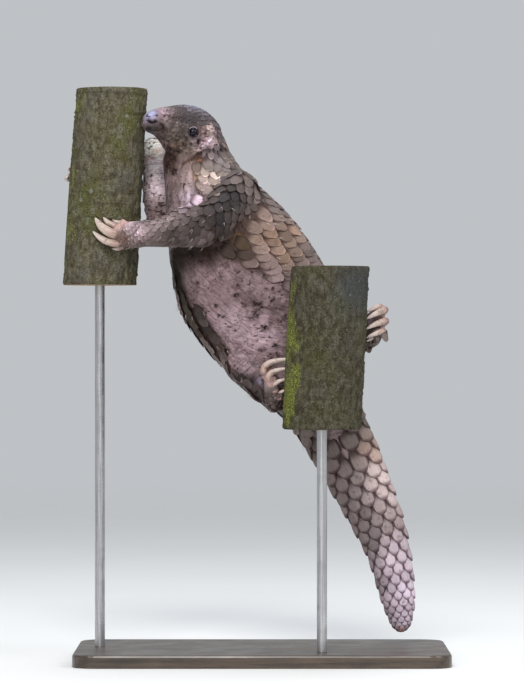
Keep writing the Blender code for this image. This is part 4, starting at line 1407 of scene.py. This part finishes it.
# Materials.
class Finish:
    """A Principled material and short ways to add nodes to it."""

    def __init__(self, name, **shader_values):
        self.material = bpy.data.materials.new(name)
        self.material.use_nodes = True
        self.tree = self.material.node_tree
        self.shader = self.tree.nodes["Principled BSDF"]
        for key, value in shader_values.items():
            self.shader.inputs[key.replace("_", " ")].default_value = value

    def fill(self, made, values):
        """Links or sets a node's inputs, and gives the node back."""
        for key, value in values.items():
            if isinstance(value, bpy.types.NodeSocket):
                self.tree.links.new(value, made.inputs[key])
            else:
                made.inputs[key].default_value = value
        return made

    def node(self, kind, values=(), **settings):
        made = self.tree.nodes.new(kind)
        for key, value in settings.items():
            setattr(made, key, value)
        return self.fill(made, dict(values))

    def done(self, **sockets):
        """Links the shader's inputs and gives back the finished material."""
        self.fill(self.shader, {key.replace("_", " "): socket for key, socket in sockets.items()})
        return self.material

    def attribute(self, name, out="Fac"):
        return self.node("ShaderNodeAttribute", attribute_name=name).outputs[out]

    def lay(self):
        """Places on a piece, as a vector and as its first two numbers."""
        vector = self.attribute("lay", "Vector")
        first, second, _ = self.node("ShaderNodeSeparateXYZ", {0: vector}).outputs
        return vector, first, second

    def place(self, scale=(1, 1, 1), source=None):
        source = source or self.node("ShaderNodeTexCoord").outputs["Object"]
        return self.node("ShaderNodeMapping", {"Vector": source, "Scale": scale}).outputs[0]

    def noise(self, vector, size, detail=3.0, rough=0.55, distort=0.0):
        values = {"Vector": vector, "Scale": size, "Detail": detail}
        values |= {"Roughness": rough, "Distortion": distort}
        return self.node("ShaderNodeTexNoise", values).outputs["Fac"]

    def cells(self, vector, size, feature):
        values = {"Vector": vector, "Scale": size}
        return self.node("ShaderNodeTexVoronoi", values, feature=feature).outputs[0]

    def math(self, operation, a, b=0.0):
        return self.node("ShaderNodeMath", {0: a, 1: b}, operation=operation).outputs[0]

    def times(self, a, b):
        return self.math("MULTIPLY", a, b)

    def total(self, *weighted):
        """The sum of values, each times its weight."""
        first, *others = (self.times(value, weight) for value, weight in weighted)
        for part in others:
            first = self.math("ADD", first, part)
        return first

    def span(self, value, low, high, to_low=0.0, to_high=1.0):
        values = {"Value": value, "From Min": low, "From Max": high, "To Min": to_low, "To Max": to_high}
        return self.node("ShaderNodeMapRange", values, interpolation_type="SMOOTHSTEP").outputs[0]

    def mix(self, amount, a, b, blend="MIX"):
        a, b = (v if isinstance(v, bpy.types.NodeSocket) else (*v, 1.0) for v in (a, b))
        values = {0: amount, 6: a, 7: b}
        return self.node("ShaderNodeMix", values, data_type="RGBA", blend_type=blend).outputs[2]

    def laid(self, colour, *coats, blend="MIX"):
        """Colours laid over a colour in turn, each through its mask."""
        for mask, over in coats:
            colour = self.mix(mask, colour, over, blend)
        return colour

    def bump(self, height, distance, strength=1.0, **under):
        values = {"Height": height, "Distance": distance, "Strength": strength, **under}
        return self.node("ShaderNodeBump", values).outputs[0]


def scale_material():
    """Streaked horn with painted shade towards the root and along the sides, worn pale at the edge by a
    positive rim value and darkened there by a negative one as painted shade in the grooves between scales.
    """
    f = Finish("horn_scales", Specular_IOR_Level=0.12)
    lay, across, along = f.lay()
    across = f.math("ABSOLUTE", across)
    rim = f.attribute("rim")
    streak = f.noise(f.place((9.0, 0.7, 37.0), lay), 2.2, 4.0, 0.6)
    fine_streak = f.noise(f.place((26.0, 1.3, 91.0), lay), 2.0, 3.0, 0.6)
    ring = f.noise(f.place((1.2, 9.0, 53.0), lay), 1.6, 3.0, 0.5)
    dirt = f.noise(f.place(), 130.0, 5.0, 0.65)
    broad = f.noise(f.place(), 42.0, 3.0, 0.5)
    border = f.math("MAXIMUM", f.span(along, 0.78, 0.96), f.span(across, 0.62, 0.92))
    worn = f.times(f.span(along, 0.84, 0.96), f.span(broad, 0.35, 0.65, 0.3, 1.0))
    colour = f.laid(
        f.attribute("tint", "Color"),
        (f.span(streak, 0.40, 0.72, 0.0, 0.65), (0.58, 0.50, 0.46)),
        (f.span(fine_streak, 0.45, 0.75, 0.0, 0.45), (1.42, 1.38, 1.38)),
        (f.span(broad, 0.35, 0.65, 0.0, 0.40), (1.38, 1.36, 1.38)),
        (f.span(ring, 0.42, 0.72, 0.0, 0.25), (1.25, 1.22, 1.20)),
        # Painted shade: darker towards each scale's root, where the scale before it lies over it, and along
        # its sides, where it slips under its neighbours
        (f.span(along, 0.50, 0.12, 0.0, 0.85), (0.20, 0.15, 0.14)),
        (f.span(across, 0.70, 0.98, 0.0, 0.75), (0.40, 0.32, 0.33)),
        # A negative rim value darkens the edge as painted shade in the grooves between the tail's scales
        (f.times(border, f.span(rim, 0.0, -1.0, 0.0, 0.85)), (0.26, 0.19, 0.22)),
        (f.times(worn, f.span(rim, 0.0, 1.0)), (2.3, 2.2, 2.2)),
        blend="MULTIPLY",
    )
    mud = f.times(f.span(dirt, 0.54, 0.68), 0.50)
    return f.done(
        Base_Color=f.mix(mud, colour, (0.055, 0.040, 0.032)),
        Roughness=f.span(f.total((streak, 1.0), (mud, 0.6)), 0.3, 0.9, 0.46, 0.80),
        Normal=f.bump(f.total((fine_streak, 0.6), (ring, 0.3), (dirt, 0.6)), 0.0005, 0.8),
    )


def skin_material():
    """Soft mottled skin with fine folds that follow the flow kept on the mesh, with painted shade in their
    creases and a painted highlight on their ridges.
    """
    f = Finish("bare_skin", Specular_IOR_Level=0.10, Subsurface_Weight=0.05, Subsurface_Scale=0.004)
    depth = f.attribute("folds")
    flow = f.attribute("flow", "Vector")
    mottle = f.noise(f.place(), 150.0, 5.0, 0.62)
    fine = f.noise(f.place(), 620.0, 3.0, 0.6)
    wide_folds = f.noise(f.place((300.0, 46.0, 40.0), flow), 1.0, 3.0, 0.6, 0.6)
    fine_folds = f.noise(f.place((640.0, 130.0, 90.0), flow), 1.0, 3.0, 0.65, 0.8)
    net = f.cells(f.place((1.0, 1.0, 1.5)), 420.0, "DISTANCE_TO_EDGE")
    colour = f.laid(
        f.attribute("tint", "Color"),
        (f.span(mottle, 0.38, 0.68, 0.0, 0.40), (0.72, 0.66, 0.65)),
        (f.span(fine, 0.48, 0.72, 0.0, 0.40), (1.34, 1.30, 1.32)),
        # Painted shade in the fold creases, then a painted highlight on the fold ridges, as strong as the
        # folds value
        (f.times(f.span(wide_folds, 0.50, 0.36, 0.0, 0.55), depth), (0.42, 0.33, 0.33)),
        (f.times(f.span(fine_folds, 0.47, 0.34, 0.0, 0.60), depth), (0.38, 0.29, 0.29)),
        (f.times(f.span(fine_folds, 0.54, 0.68, 0.0, 0.50), depth), (1.42, 1.38, 1.42)),
        (f.span(net, 0.10, 0.0, 0.0, 0.18), (0.45, 0.36, 0.33)),
        blend="MULTIPLY",
    )
    rough = f.total((f.span(mottle, 0.3, 0.7, 0.48, 0.70), 1.0), (f.attribute("nose"), -0.16))
    folded = f.bump(f.times(f.total((wide_folds, 1.3), (fine_folds, 0.9)), depth), 0.0016, 0.8)
    relief = f.total((f.span(net, 0.0, 0.16), 0.3), (fine, 0.5), (mottle, 0.8))
    return f.done(Base_Color=colour, Roughness=rough, Normal=f.bump(relief, 0.0004, 0.7, Normal=folded))


def claw_material():
    """Pale streaked horn with brown stains and a dark root."""
    f = Finish("claw_horn", Specular_IOR_Level=0.5)
    lay, _, along = f.lay()
    streak = f.noise(f.place((7.0, 0.8, 31.0), lay), 2.4, 4.0, 0.6)
    stain = f.noise(f.place(), 160.0, 4.0, 0.6)
    horn = f.laid(
        (0.36, 0.235, 0.20),
        (f.span(along, 0.05, 0.75), (0.59, 0.48, 0.43)),
        (f.span(along, 0.78, 1.0, 0.0, 0.55), (0.74, 0.67, 0.64)),
        (f.span(streak, 0.42, 0.72, 0.0, 0.55), (0.30, 0.19, 0.14)),
        (f.span(streak, 0.42, 0.25, 0.0, 0.35), (0.80, 0.72, 0.64)),
        (f.span(stain, 0.54, 0.68, 0.0, 0.60), (0.12, 0.085, 0.065)),
        (f.span(along, 0.12, 0.0, 0.0, 0.75), (0.07, 0.045, 0.038)),
    )
    rough = f.span(stain, 0.3, 0.7, 0.34, 0.60)
    return f.done(Base_Color=horn, Roughness=rough, Normal=f.bump(streak, 0.0004, 0.6))


def eye_material():
    f = Finish("wet_eye", Specular_IOR_Level=0.40, Specular_Tint=(0.80, 0.72, 1.0, 1.0))
    lay, _, out = f.lay()
    fibres = f.noise(f.place((14.0, 2.0, 1.0), lay), 2.0, 3.0, 0.6)
    iris = f.laid(
        (0.0020, 0.0012, 0.0050),
        (f.span(fibres, 0.4, 0.7), (0.0060, 0.0035, 0.0070)),
        (f.span(out, 0.26, 0.20), (0.0008, 0.0006, 0.0012)),
        (f.span(out, 0.58, 0.72), (0.004, 0.003, 0.005)),
    )
    return f.done(Base_Color=iris, Roughness=f.span(fibres, 0.3, 0.7, 0.03, 0.06))


def bark_material(name, look, seed):
    """Grey-brown bark with lichen, algae and moss; look is its darkness, greenness and moss."""
    shade, green, mossy = look

    def shaded(*colour):
        return tuple(shade * part for part in colour)

    f = Finish(name, Specular_IOR_Level=0.1)
    offset = {0: f.place(), 1: (seed, seed * 2.0, 0)}
    moved = f.node("ShaderNodeVectorMath", offset, operation="ADD").outputs[0]
    broad = f.noise(moved, 17.0, 4.0, 0.6)
    patch = f.noise(f.place((1, 1, 0.8), moved), 44.0, 3.0, 0.55, 0.3)
    middle = f.noise(f.place((1, 1, 0.6), moved), 130.0, 5.0, 0.65)
    fine = f.noise(f.place((1, 1, 1.3), moved), 430.0, 4.0, 0.7)
    crack = f.cells(f.place((1, 1, 0.45), moved), 210.0, "DISTANCE_TO_EDGE")
    ring = f.noise(f.place((0.12, 0.12, 2.2), moved), 26.0, 4.0, 0.6, 0.4)
    crust = f.cells(moved, 62.0, "SMOOTH_F1")
    dark = shaded(0.026, 0.021, 0.013)
    cracks = f.times(f.span(crack, 0.07, 0.0), f.span(patch, 0.40, 0.65, 0.0, 0.45))
    spots = f.times(f.span(crust, 0.24, 0.12, 0.0, 0.55), f.span(broad, 0.50, 0.62))
    flecks = f.times(f.span(fine, 0.60, 0.72), f.span(broad, 0.35, 0.6, 0.30, 0.85))
    cover = f.total((f.attribute("moss"), mossy), (middle, 0.55), (patch, 0.55))
    moss = f.times(f.span(cover, 0.72, 0.98), f.span(fine, 0.36, 0.58, 0.15, 0.9))
    damp = f.attribute("damp")
    colour = f.laid(
        shaded(0.105, 0.086, 0.046),
        (f.span(middle, 0.36, 0.64), shaded(0.240, 0.218, 0.152)),
        (f.span(broad, 0.46, 0.66, 0.0, green), shaded(0.150, 0.150, 0.052)),
        (f.span(broad, 0.45, 0.28, 0.0, 0.55), shaded(0.165, 0.155, 0.145)),
        (f.span(patch, 0.60, 0.70, 0.0, 0.45), shaded(0.30, 0.29, 0.25)),
        (f.span(patch, 0.40, 0.30, 0.0, 0.55), shaded(0.070, 0.064, 0.034)),
        (f.span(fine, 0.48, 0.36, 0.0, 0.80), dark),
        (cracks, dark),
        (f.span(ring, 0.62, 0.72, 0.0, 0.40), dark),
        (spots, shaded(0.36, 0.37, 0.34)),
        (flecks, shaded(0.66, 0.66, 0.56)),
        (moss, f.mix(f.span(fine, 0.42, 0.68), (0.085, 0.095, 0.016), (0.27, 0.31, 0.060))),
        (f.times(damp, f.span(middle, 0.25, 0.6, 0.5, 0.95)), (0.048, 0.054, 0.062)),
        (f.times(damp, f.span(fine, 0.60, 0.70)), (0.32, 0.33, 0.33)),
    )
    height = f.total((middle, 0.8), (fine, 0.7), (f.span(crack, 0.0, 0.08), 0.12))
    rough = f.span(middle, 0.3, 0.7, 0.80, 0.97)
    return f.done(Base_Color=colour, Roughness=rough, Normal=f.bump(height, 0.0018))


def sawn_material():
    f = Finish("sawn_wood", Specular_IOR_Level=0.25)
    lay, _, out = f.lay()
    rings = f.noise(f.place((0.25, 26.0, 1.0), lay), 1.0, 4.0, 0.6)
    fine = f.noise(f.place(), 700.0, 3.0, 0.6)
    wood = f.laid(
        (0.42, 0.29, 0.165),
        (f.span(rings, 0.38, 0.62), (0.24, 0.155, 0.085)),
        (f.span(fine, 0.45, 0.70, 0.0, 0.4), (0.56, 0.43, 0.28)),
        (f.span(out, 0.90, 0.95), (0.055, 0.042, 0.028)),
    )
    rough = f.span(fine, 0.3, 0.7, 0.70, 0.90)
    return f.done(Base_Color=wood, Roughness=rough, Normal=f.bump(f.math("ADD", rings, fine), 0.0004, 0.6))


def base_material():
    """Dark stained board under a satin lacquer."""
    f = Finish("stained_board", Specular_IOR_Level=0.45, Coat_Weight=0.25, Coat_Roughness=0.25)
    grain = f.noise(f.place((2.0, 38.0, 38.0)), 3.2, 6.0, 0.65, 0.6)
    pores = f.noise(f.place((14.0, 420.0, 420.0)), 2.0, 3.0, 0.7)
    wear = f.noise(f.place(), 18.0, 4.0, 0.6)
    wood = f.laid(
        (0.030, 0.021, 0.015),
        (f.span(grain, 0.35, 0.65), (0.088, 0.060, 0.041)),
        (f.span(pores, 0.56, 0.70, 0.0, 0.7), (0.012, 0.009, 0.007)),
        (f.span(wear, 0.55, 0.75, 0.0, 0.25), (0.12, 0.09, 0.066)),
    )
    rough = f.span(wear, 0.3, 0.7, 0.34, 0.50)
    relief = f.bump(f.total((grain, 1.0), (pores, -0.5)), 0.0005, 0.5)
    return f.done(Base_Color=wood, Roughness=rough, Normal=relief)


def rod_material():
    f = Finish("brushed_rod", Metallic=1.0)
    lines = f.noise(f.place((900.0, 900.0, 12.0)), 1.0, 4.0, 0.6)
    cloud = f.noise(f.place(), 60.0, 3.0, 0.5)
    steel = f.laid(
        (0.36, 0.36, 0.37),
        (f.span(lines, 0.35, 0.65), (0.58, 0.58, 0.59)),
        (f.span(cloud, 0.5, 0.75, 0.0, 0.35), (0.27, 0.265, 0.26)),
    )
    rough = f.span(cloud, 0.3, 0.7, 0.26, 0.42)
    return f.done(Base_Color=steel, Roughness=rough, Normal=f.bump(lines, 0.0003, 0.35))


# The pieces.
def make_skin():
    """The one skin in place of every flesh solid."""
    mesh = SKIN.mesh
    mesh.name = "skin"
    colour, nose = skin_colours(SMOOTH_CO, SKIN_LABEL, SKIN_BARE)
    flow, folds = skin_flow(SMOOTH_CO, SKIN_LABEL)
    keep_values(mesh, tint=colour, nose=nose, flow=flow, folds=SKIN.relaxed(folds, 6))
    mesh.materials.clear()
    mesh.materials.append(skin_material())
    mesh.shade_smooth()
    skin = bpy.data.objects.new("skin", mesh)
    bpy.context.scene.collection.objects.link(skin)
    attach(skin, "root")
    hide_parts(*FLESH)


# The share of scales with a group of hairs, by style.
HAIRY_SHARE = {"back": 0.42, "limb": 0.26, "neck": 0.2}
# Rings along a hair and points round it, and its radius at the root.
HAIR_RINGS, HAIR_SIDES = 4, 3
HAIR_RADIUS = 0.22 * MM


def map_zone(number, count=13):
    """Where a lattice lies on the coat's map: left, bottom, width and height."""
    return (0.02, 0.52 + 0.46 * number / count, 0.96, 0.46 / count)


def lay_body(others):
    allowed = ("neck", "trunk", "tail_base", "tail_middle", "tail_tip", "head", "arm_left_upper")
    allowed += ("arm_right_upper", "leg_left_thigh", "leg_right_thigh")
    lattice = Lattice(allowed, (0.02, 0.02, 0.96, 0.46), others)
    lattice.lay(-1.25, 14.25, body_facts)
    return lattice.roots


def lay_head():
    lattice = Lattice(("head",), map_zone(0))
    lattice.lay(0.0, 1.24, head_facts)
    return lattice.roots


def lay_limb(name, number, others):
    """Rows on one piece of a limb; the forearm's and the shin's run on past the wrist or ankle."""
    limb = name.split("_")[:2]
    allowed = [n for n in FLESH if n.split("_")[:2] == limb]
    last = 1.0
    if name.endswith(("fore", "shin")):
        allowed.append(name.replace("arm", "hand").replace("leg", "foot").rsplit("_", 1)[0])
        last = 1.10
    lattice = Lattice(allowed, map_zone(number), others)
    lattice.lay(0.0, last, limb_facts(name))
    return lattice.roots


# Coat pieces of the body: name, and the first and last station of its rows.
BODY_CUTS = (
    ("scales_neck", 0, 3.6),
    ("scales_chest", 3.6, 5.4),
    ("scales_back", 5.4, 7.4),
    ("scales_rump", 7.4, 9.4),
    ("scales_tail_base", 9.4, 11.4),
    ("scales_tail_tip", 11.4, 99),
)


def make_coat():
    """Head and limbs first, then the body, whose rows keep clear of theirs."""
    horn = scale_material()
    placed = lay_head()
    make_scales("scales_head", placed, horn)
    for number, limb in enumerate(("arm_left", "arm_right", "leg_left", "leg_right")):
        roots = []
        paw = limb.replace("arm", "hand").replace("leg", "foot")
        for k, name in enumerate(n for n in LIMBS if n.startswith((limb, paw))):
            roots += lay_limb(name, 1 + number * 3 + k, roots)
        make_scales(f"scales_{limb}", roots, horn)
        placed = placed + roots
    body = lay_body(placed)
    for name, low, high in BODY_CUTS:
        make_scales(name, [r for r in body if low <= r.share * (len(BODY) - 1) < high], horn)
    make_bristles(placed + body)


def hair_material():
    f = Finish("bristle", Roughness=0.45, Specular_IOR_Level=0.4)
    _, _, along = f.lay()
    patches = f.noise(f.place(), 220.0, 3.0, 0.6)
    colour = f.mix(f.span(patches, 0.35, 0.7), (0.62, 0.57, 0.53), (0.38, 0.32, 0.27))
    return f.done(Base_Color=f.mix(f.span(along, 0.0, 0.3, 0.6, 0.0), colour, (0.12, 0.09, 0.07)))


def make_bristles(roots):
    """Short pale hairs that come out between the scales, two to four in a group."""
    chooser = np.random.default_rng(29)
    points, faces, patches, lays = [], [], [], []
    s = np.repeat(np.linspace(0, 1, HAIR_RINGS + 1), HAIR_SIDES)[:, None]
    share = np.tile(np.arange(HAIR_SIDES) / HAIR_SIDES, HAIR_RINGS + 1)[:, None]
    turn = share * 2 * math.pi
    for root in roots:
        if root.style not in HAIRY_SHARE or chooser.uniform() > HAIRY_SHARE[root.style]:
            continue
        side = np.cross(root.normal, root.lie)
        foot = root.place + side * root.half * chooser.choice((-0.85, 0.85)) + root.lie * root.length * 0.8
        foot = np.array(SKIN_TREE.find_nearest(foot)[0]) + root.normal * root.coat * 0.5
        for _ in range(chooser.integers(2, 5)):
            lean = chooser.uniform(0.35, 0.75)
            aim = unit(root.lie + root.normal * lean + side * chooser.uniform(-0.4, 0.4))
            across = unit(np.cross(aim, root.normal))
            length = chooser.uniform(0.005, 0.009)
            start = foot + side * chooser.uniform(-1.2, 1.2) * MM
            out = across * np.cos(turn) + np.cross(across, aim) * np.sin(turn)
            first = len(points) * len(s)
            last = first + len(s) - HAIR_SIDES
            faces += ring_faces(HAIR_RINGS + 1, HAIR_SIDES, first)
            faces += [(first + 2, first + 1, first), (last, last + 1, last + 2)]
            middle = start + (aim * s + root.lie * 0.3 * s * s) * length
            points.append(middle + out * HAIR_RADIUS * (1.12 - s))
            patches.append(root.spot + np.hstack((share - 0.5, s - 0.5)) * MAP_PATCH)
            lays.append(np.hstack((share, s, s * 0)))
    mesh = new_piece("bristles", np.vstack(points), faces, hair_material()).data
    keep_values(mesh, lay=np.vstack(lays))
    add_bake_map(mesh, np.vstack(patches))


def stem_form(name):
    """Foot and top centres and radii of a stem, from its CAD node."""
    points, _, _ = node_shape(name)
    low, high = points[:, 2].min(), points[:, 2].max()
    ends = []
    for z in (low, high):
        rim = points[np.abs(points[:, 2] - z) < 1e-4]
        centre = rim.mean(0)
        radius = np.linalg.norm(rim - centre, axis=1)
        ends.append((centre, float(radius[radius > 0.03].mean())))
    return ends


STEMS = {name: stem_form(f"perch_{name}") for name in ("fore", "hind")}


def stem_axis(stem, z):
    (low, r0), (high, r1) = STEMS[stem]
    t = (z - low[2]) / (high[2] - low[2])
    return low + (high - low) * t, r0 + (r1 - r0) * t


# Points round a claw and along it, its tip's radius, and how much fuller it is than its solid.
CLAW_SIDES, CLAW_STEPS = 20, 26
CLAW_TIP = 0.0008
CLAW_FULLNESS = 1.12


def make_claw(node, stem, start, end, radius, bow, sweep, material):
    """A curved, blunt claw with a ridge above, lying on the bark."""
    start, end = np.array(start) * MM, np.array(end) * MM
    radius = radius * MM * CLAW_FULLNESS
    chord = end - start
    outward = unit((start + end) / 2 - stem_axis(stem, (start[2] + end[2]) / 2)[0])
    sweep = np.array(sweep, float)
    sweep = unit(sweep - unit(chord) * (sweep @ unit(chord)))
    middle = (start + end) / 2 + outward * bow * 2 * MM + sweep * np.linalg.norm(chord) * 0.24
    chance = RANDOM.uniform(0, 1)
    t = np.repeat(np.linspace(0, 1, CLAW_STEPS), CLAW_SIDES)[:, None]
    a = np.tile(np.arange(CLAW_SIDES) * 2 * math.pi / CLAW_SIDES, CLAW_STEPS)[:, None]
    centre = start * (1 - t) ** 2 + middle * 2 * t * (1 - t) + end * t * t
    along = unit((middle - start) * (1 - t) + (end - middle) * t)
    side = unit(np.cross(along, outward))
    size = CLAW_TIP + (radius - CLAW_TIP) * (1 - t**3) ** 0.85
    size = size * (1 - 0.035 * np.cos(a * 5 + 6 * t) * (1 - t))
    lift = np.sin(a)
    deep = lift * 0.90 * (1 + 0.10 * np.maximum(lift, 0) ** 3 - 0.16 * np.maximum(-lift, 0) ** 2)
    points = centre + (side * np.cos(a) * 1.06 + unit(np.cross(side, along)) * deep) * size
    # Points that would sink into the stem are moved out onto its bark
    heart, bark = stem_axis(stem, points[:, 2:])
    flat = (points - heart) * (1, 1, 0)
    reach = np.linalg.norm(flat, axis=1, keepdims=True)
    points += flat / reach * np.maximum(bark + 0.0002 - reach, 0)
    faces = ring_faces(CLAW_STEPS, CLAW_SIDES)
    faces.append(tuple(range(CLAW_SIDES - 1, -1, -1)))
    faces.append(tuple(range((CLAW_STEPS - 1) * CLAW_SIDES, CLAW_STEPS * CLAW_SIDES)))
    piece = new_piece(f"{node}_horn", points, faces, material)
    keep_values(piece.data, lay=np.hstack((a / math.pi, t, np.full_like(t, chance * 3))))
    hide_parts(node)


def make_claws():
    horn = claw_material()
    for foot, rows in CLAWS.items():
        for number, (start, end, radius, bow) in enumerate(rows, start=1):
            node = f"claw_{foot}_{number}"
            make_claw(node, STEM_OF[foot], start, end, radius, bow, CLAW_SWEEP[foot], horn)


def make_eyes():
    """Eyeballs just inside the solid ones, in rings round the line of sight, fullest in front."""
    wet = eye_material()
    rings, sides = 26, 40
    a = np.repeat(np.linspace(0, math.pi, rings + 1), sides)[:, None]
    b = np.tile(np.arange(sides) * 2 * math.pi / sides, rings + 1)[:, None]
    for side, sign in (("left", 1), ("right", -1)):
        sight = unit(HEAD_AXES[1] * sign + HEAD_AXES[0] * 0.22 + HEAD_AXES[2] * 0.06)
        right = unit(np.cross(sight, HEAD_AXES[2]))
        round_sight = right * np.cos(b) + np.cross(right, sight) * np.sin(b)
        out = sight * np.cos(a) + round_sight * np.sin(a)
        points = EYES[side] + out * EYE_RADIUS * 0.985 * (1 + 0.006 * bell(a, 0, 0.62))
        piece = new_piece(f"eyeball_{side}", points, ring_faces(rings + 1, sides), wet)
        keep_values(piece.data, lay=np.hstack((b / math.pi, a / math.pi * 2, a * 0)))
        bm = bmesh.new()
        bm.from_mesh(piece.data)
        bmesh.ops.remove_doubles(bm, verts=bm.verts, dist=1e-6)
        bmesh.ops.recalc_face_normals(bm, faces=bm.faces)
        bm.to_mesh(piece.data)
        bm.free()
        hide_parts(f"eye_{side}")


# Stems: marks round them as heights in metres, and how strong each is.
STEM_MARKS = {"fore": ((0.618, 0.6), (0.702, 0.35), (0.768, 0.5)), "hind": ((0.372, 0.4), (0.468, 0.5))}
# Darkness, greenness and moss of each stem's bark, and a number that makes it differ.
STEM_LOOKS = {"fore": ((0.62, 0.90, 0.24), 3.0), "hind": ((0.42, 0.60, 0.38), 11.0)}


BARK_AROUND, BARK_TALL, SAWN_RINGS = 230, 190, 12
BARK_DEPTH = 0.0004


def make_stem(name, wood):
    """A cut length of stem: uneven bark just inside the solid, and sawn ends."""
    (low, r0), (high, r1) = STEMS[name]
    seed = int(STEM_LOOKS[name][1])
    a = np.linspace(0, 2 * math.pi, BARK_AROUND, endpoint=False)
    angle, share = (grid.ravel() for grid in np.meshgrid(a, np.linspace(0, 1, BARK_TALL)))
    z = low[2] + (high[2] - low[2]) * share
    out = np.column_stack((np.cos(angle), np.sin(angle), np.zeros_like(angle)))
    where = out * 0.053 + np.column_stack((np.zeros((len(z), 2)), z))
    lift = 0.0007 * (np.sin(2 * angle + 5 * share) + np.sin(3 * angle - 4 * share))
    lift += 0.0009 * layered(where * (1, 1, 0.6), 0.012, seed) + 0.0006 * layered(where, 0.0045, seed + 5)
    lift += 0.0011 * ease(layered(where, 0.007, seed + 9), 0.25, 0.75)
    lift -= 0.0010 * ease(1 - np.abs(lumps(where * (1, 1, 0.35), 0.010, seed + 12)), 0.90, 1.0)
    for mark, depth in STEM_MARKS[name]:
        wave = z - mark + 0.0025 * np.sin(angle * 2 + seed) + 0.0015 * lumps(where, 0.02, seed + 15)
        lift += 0.0016 * depth * (bell(wave, 0, 0.0022) - 1.2 * bell(wave, -0.004, 0.0016))
    lift = np.minimum(lift - BARK_DEPTH, 0.0007)
    lift -= 0.0012 * ease(np.minimum(share, 1 - share) * (high[2] - low[2]), 0.003, 0.0)
    radius = r0 + (r1 - r0) * share - BARK_DEPTH + lift
    walls = low + (high - low) * share[:, None] + out * radius[:, None]
    left = ease(-out[:, 0] + 0.18 * layered(where, 0.03, seed + 18), 0.35, 1.0)
    moss = left * (0.75 + 0.6 * layered(where, 0.045, seed + 20))
    damp = bell(z, 0.520, 0.034) * ease(out[:, 0], -0.2, 0.6) * (0.8 if name == "hind" else 0)
    faces = ring_faces(BARK_TALL, BARK_AROUND)
    wall_faces = len(faces)
    # Sawn ends: rings of points that shrink to the heart
    points, lays = [walls], [walls * 0]
    for end, first, up in ((low, 0, 1), (high, len(walls) - BARK_AROUND, -1)):
        edge = walls[first : first + BARK_AROUND]
        for step in range(1, SAWN_RINGS + 1):
            reach = 1 - step / SAWN_RINGS
            ring = end + (edge - end) * reach
            ring[:, 2] = end[2] + up * 0.0003 * (1 - reach)
            start = sum(len(p) for p in points)
            points.append(ring)
            lays.append(np.column_stack((a / math.pi, np.full_like(a, reach), a * 0)))
            for n in range(BARK_AROUND):
                m = (n + 1) % BARK_AROUND
                faces.append((first + n, first + m, start + m, start + n)[::-up])
            first = start
    points = np.vstack(points)
    bark = bark_material(f"bark_{name}", *STEM_LOOKS[name])
    piece = new_piece(f"bark_{name}", points, faces, bark)
    mesh = piece.data
    mesh.materials.append(wood)
    slots = (np.arange(len(faces)) >= wall_faces).astype(np.int32)
    mesh.polygons.foreach_set("material_index", slots)
    moss, damp = (np.pad(values, (0, len(points) - len(walls))) for values in (moss, damp))
    keep_values(mesh, lay=np.vstack(lays), moss=moss, damp=damp)
    mesh.set_sharp_from_angle(angle=math.radians(60))
    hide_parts(f"perch_{name}")


def finish_stand():
    board, rod = base_material(), rod_material()
    for name, material in (("stand_base", board), ("stand_rod_fore", rod), ("stand_rod_hind", rod)):
        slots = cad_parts[name].data.materials
        slots.clear()
        slots.append(material)


# Floor, light and camera.
def make_floor():
    """A pale floor that fades into the backdrop a few metres out."""
    f = Finish("pale_floor", Roughness=0.9, Specular_IOR_Level=0.1)
    where = f.place()
    cloud = f.noise(where, 3.0, 3.0, 0.5)
    reach = f.node("ShaderNodeVectorMath", {0: where}, operation="LENGTH").outputs["Value"]
    mesh = bpy.data.meshes.new("floor")
    mesh.from_pydata([(-8, -8, 0), (8, -8, 0), (8, 8, 0), (-8, 8, 0)], [], [(0, 1, 2, 3)])
    colour = f.mix(cloud, (0.78, 0.78, 0.77), (0.82, 0.82, 0.81))
    mesh.materials.append(f.done(Base_Color=colour, Alpha=f.span(reach, 7.0, 0.6)))
    floor = bpy.data.objects.new("floor", mesh)
    bpy.context.scene.collection.objects.link(floor)


def add_light(name, place, target, size, power, colour=(1, 1, 1)):
    light = bpy.data.lights.new(name, "AREA")
    light.shape = "DISK"
    light.size = size
    light.energy = power
    light.color = colour
    obj = bpy.data.objects.new(name, light)
    bpy.context.scene.collection.objects.link(obj)
    obj.location = place
    obj.rotation_euler = (Vector(target) - Vector(place)).to_track_quat("-Z", "Y").to_euler()


def light_scene():
    world = bpy.data.worlds.new("studio")
    world.use_nodes = True
    world.node_tree.nodes["Background"].inputs["Color"].default_value = (0.93, 0.96, 1.0, 1)
    world.node_tree.nodes["Background"].inputs["Strength"].default_value = 0.56
    bpy.context.scene.world = world
    bpy.context.scene.view_settings.view_transform = "Standard"
    middle = (-0.05, 0, 0.5)
    add_light("key", (-0.35, -3.2, 3.0), middle, 1.3, 122, (1.0, 0.99, 0.97))
    add_light("fill", (-0.7, -4.6, 1.2), middle, 2.6, 14, (1.0, 0.99, 0.98))
    add_light("top", (0.0, 0.9, 3.4), middle, 1.6, 36, (0.86, 0.92, 1.0))
    add_light("side", (2.3, -0.9, 2.3), middle, 1.0, 20, (0.95, 0.97, 1.0))


def add_camera():
    """The photograph's own view; the sensor's longer side spans its height."""
    camera = bpy.data.cameras.new("camera")
    camera.sensor_width = 36
    camera.lens = camera.sensor_width * -VIEWPOINT[1] / (PICTURE_HEIGHT * PIXEL)
    camera.clip_end = 200
    obj = bpy.data.objects.new("camera", camera)
    obj.location = VIEWPOINT
    obj.rotation_euler = (math.pi / 2, 0, 0)
    bpy.context.scene.collection.objects.link(obj)
    bpy.context.scene.camera = obj


make_skin()
make_coat()
make_claws()
make_eyes()
end_grain = sawn_material()
for stem_name in STEMS:
    make_stem(stem_name, end_grain)
finish_stand()
make_floor()
light_scene()
add_camera()
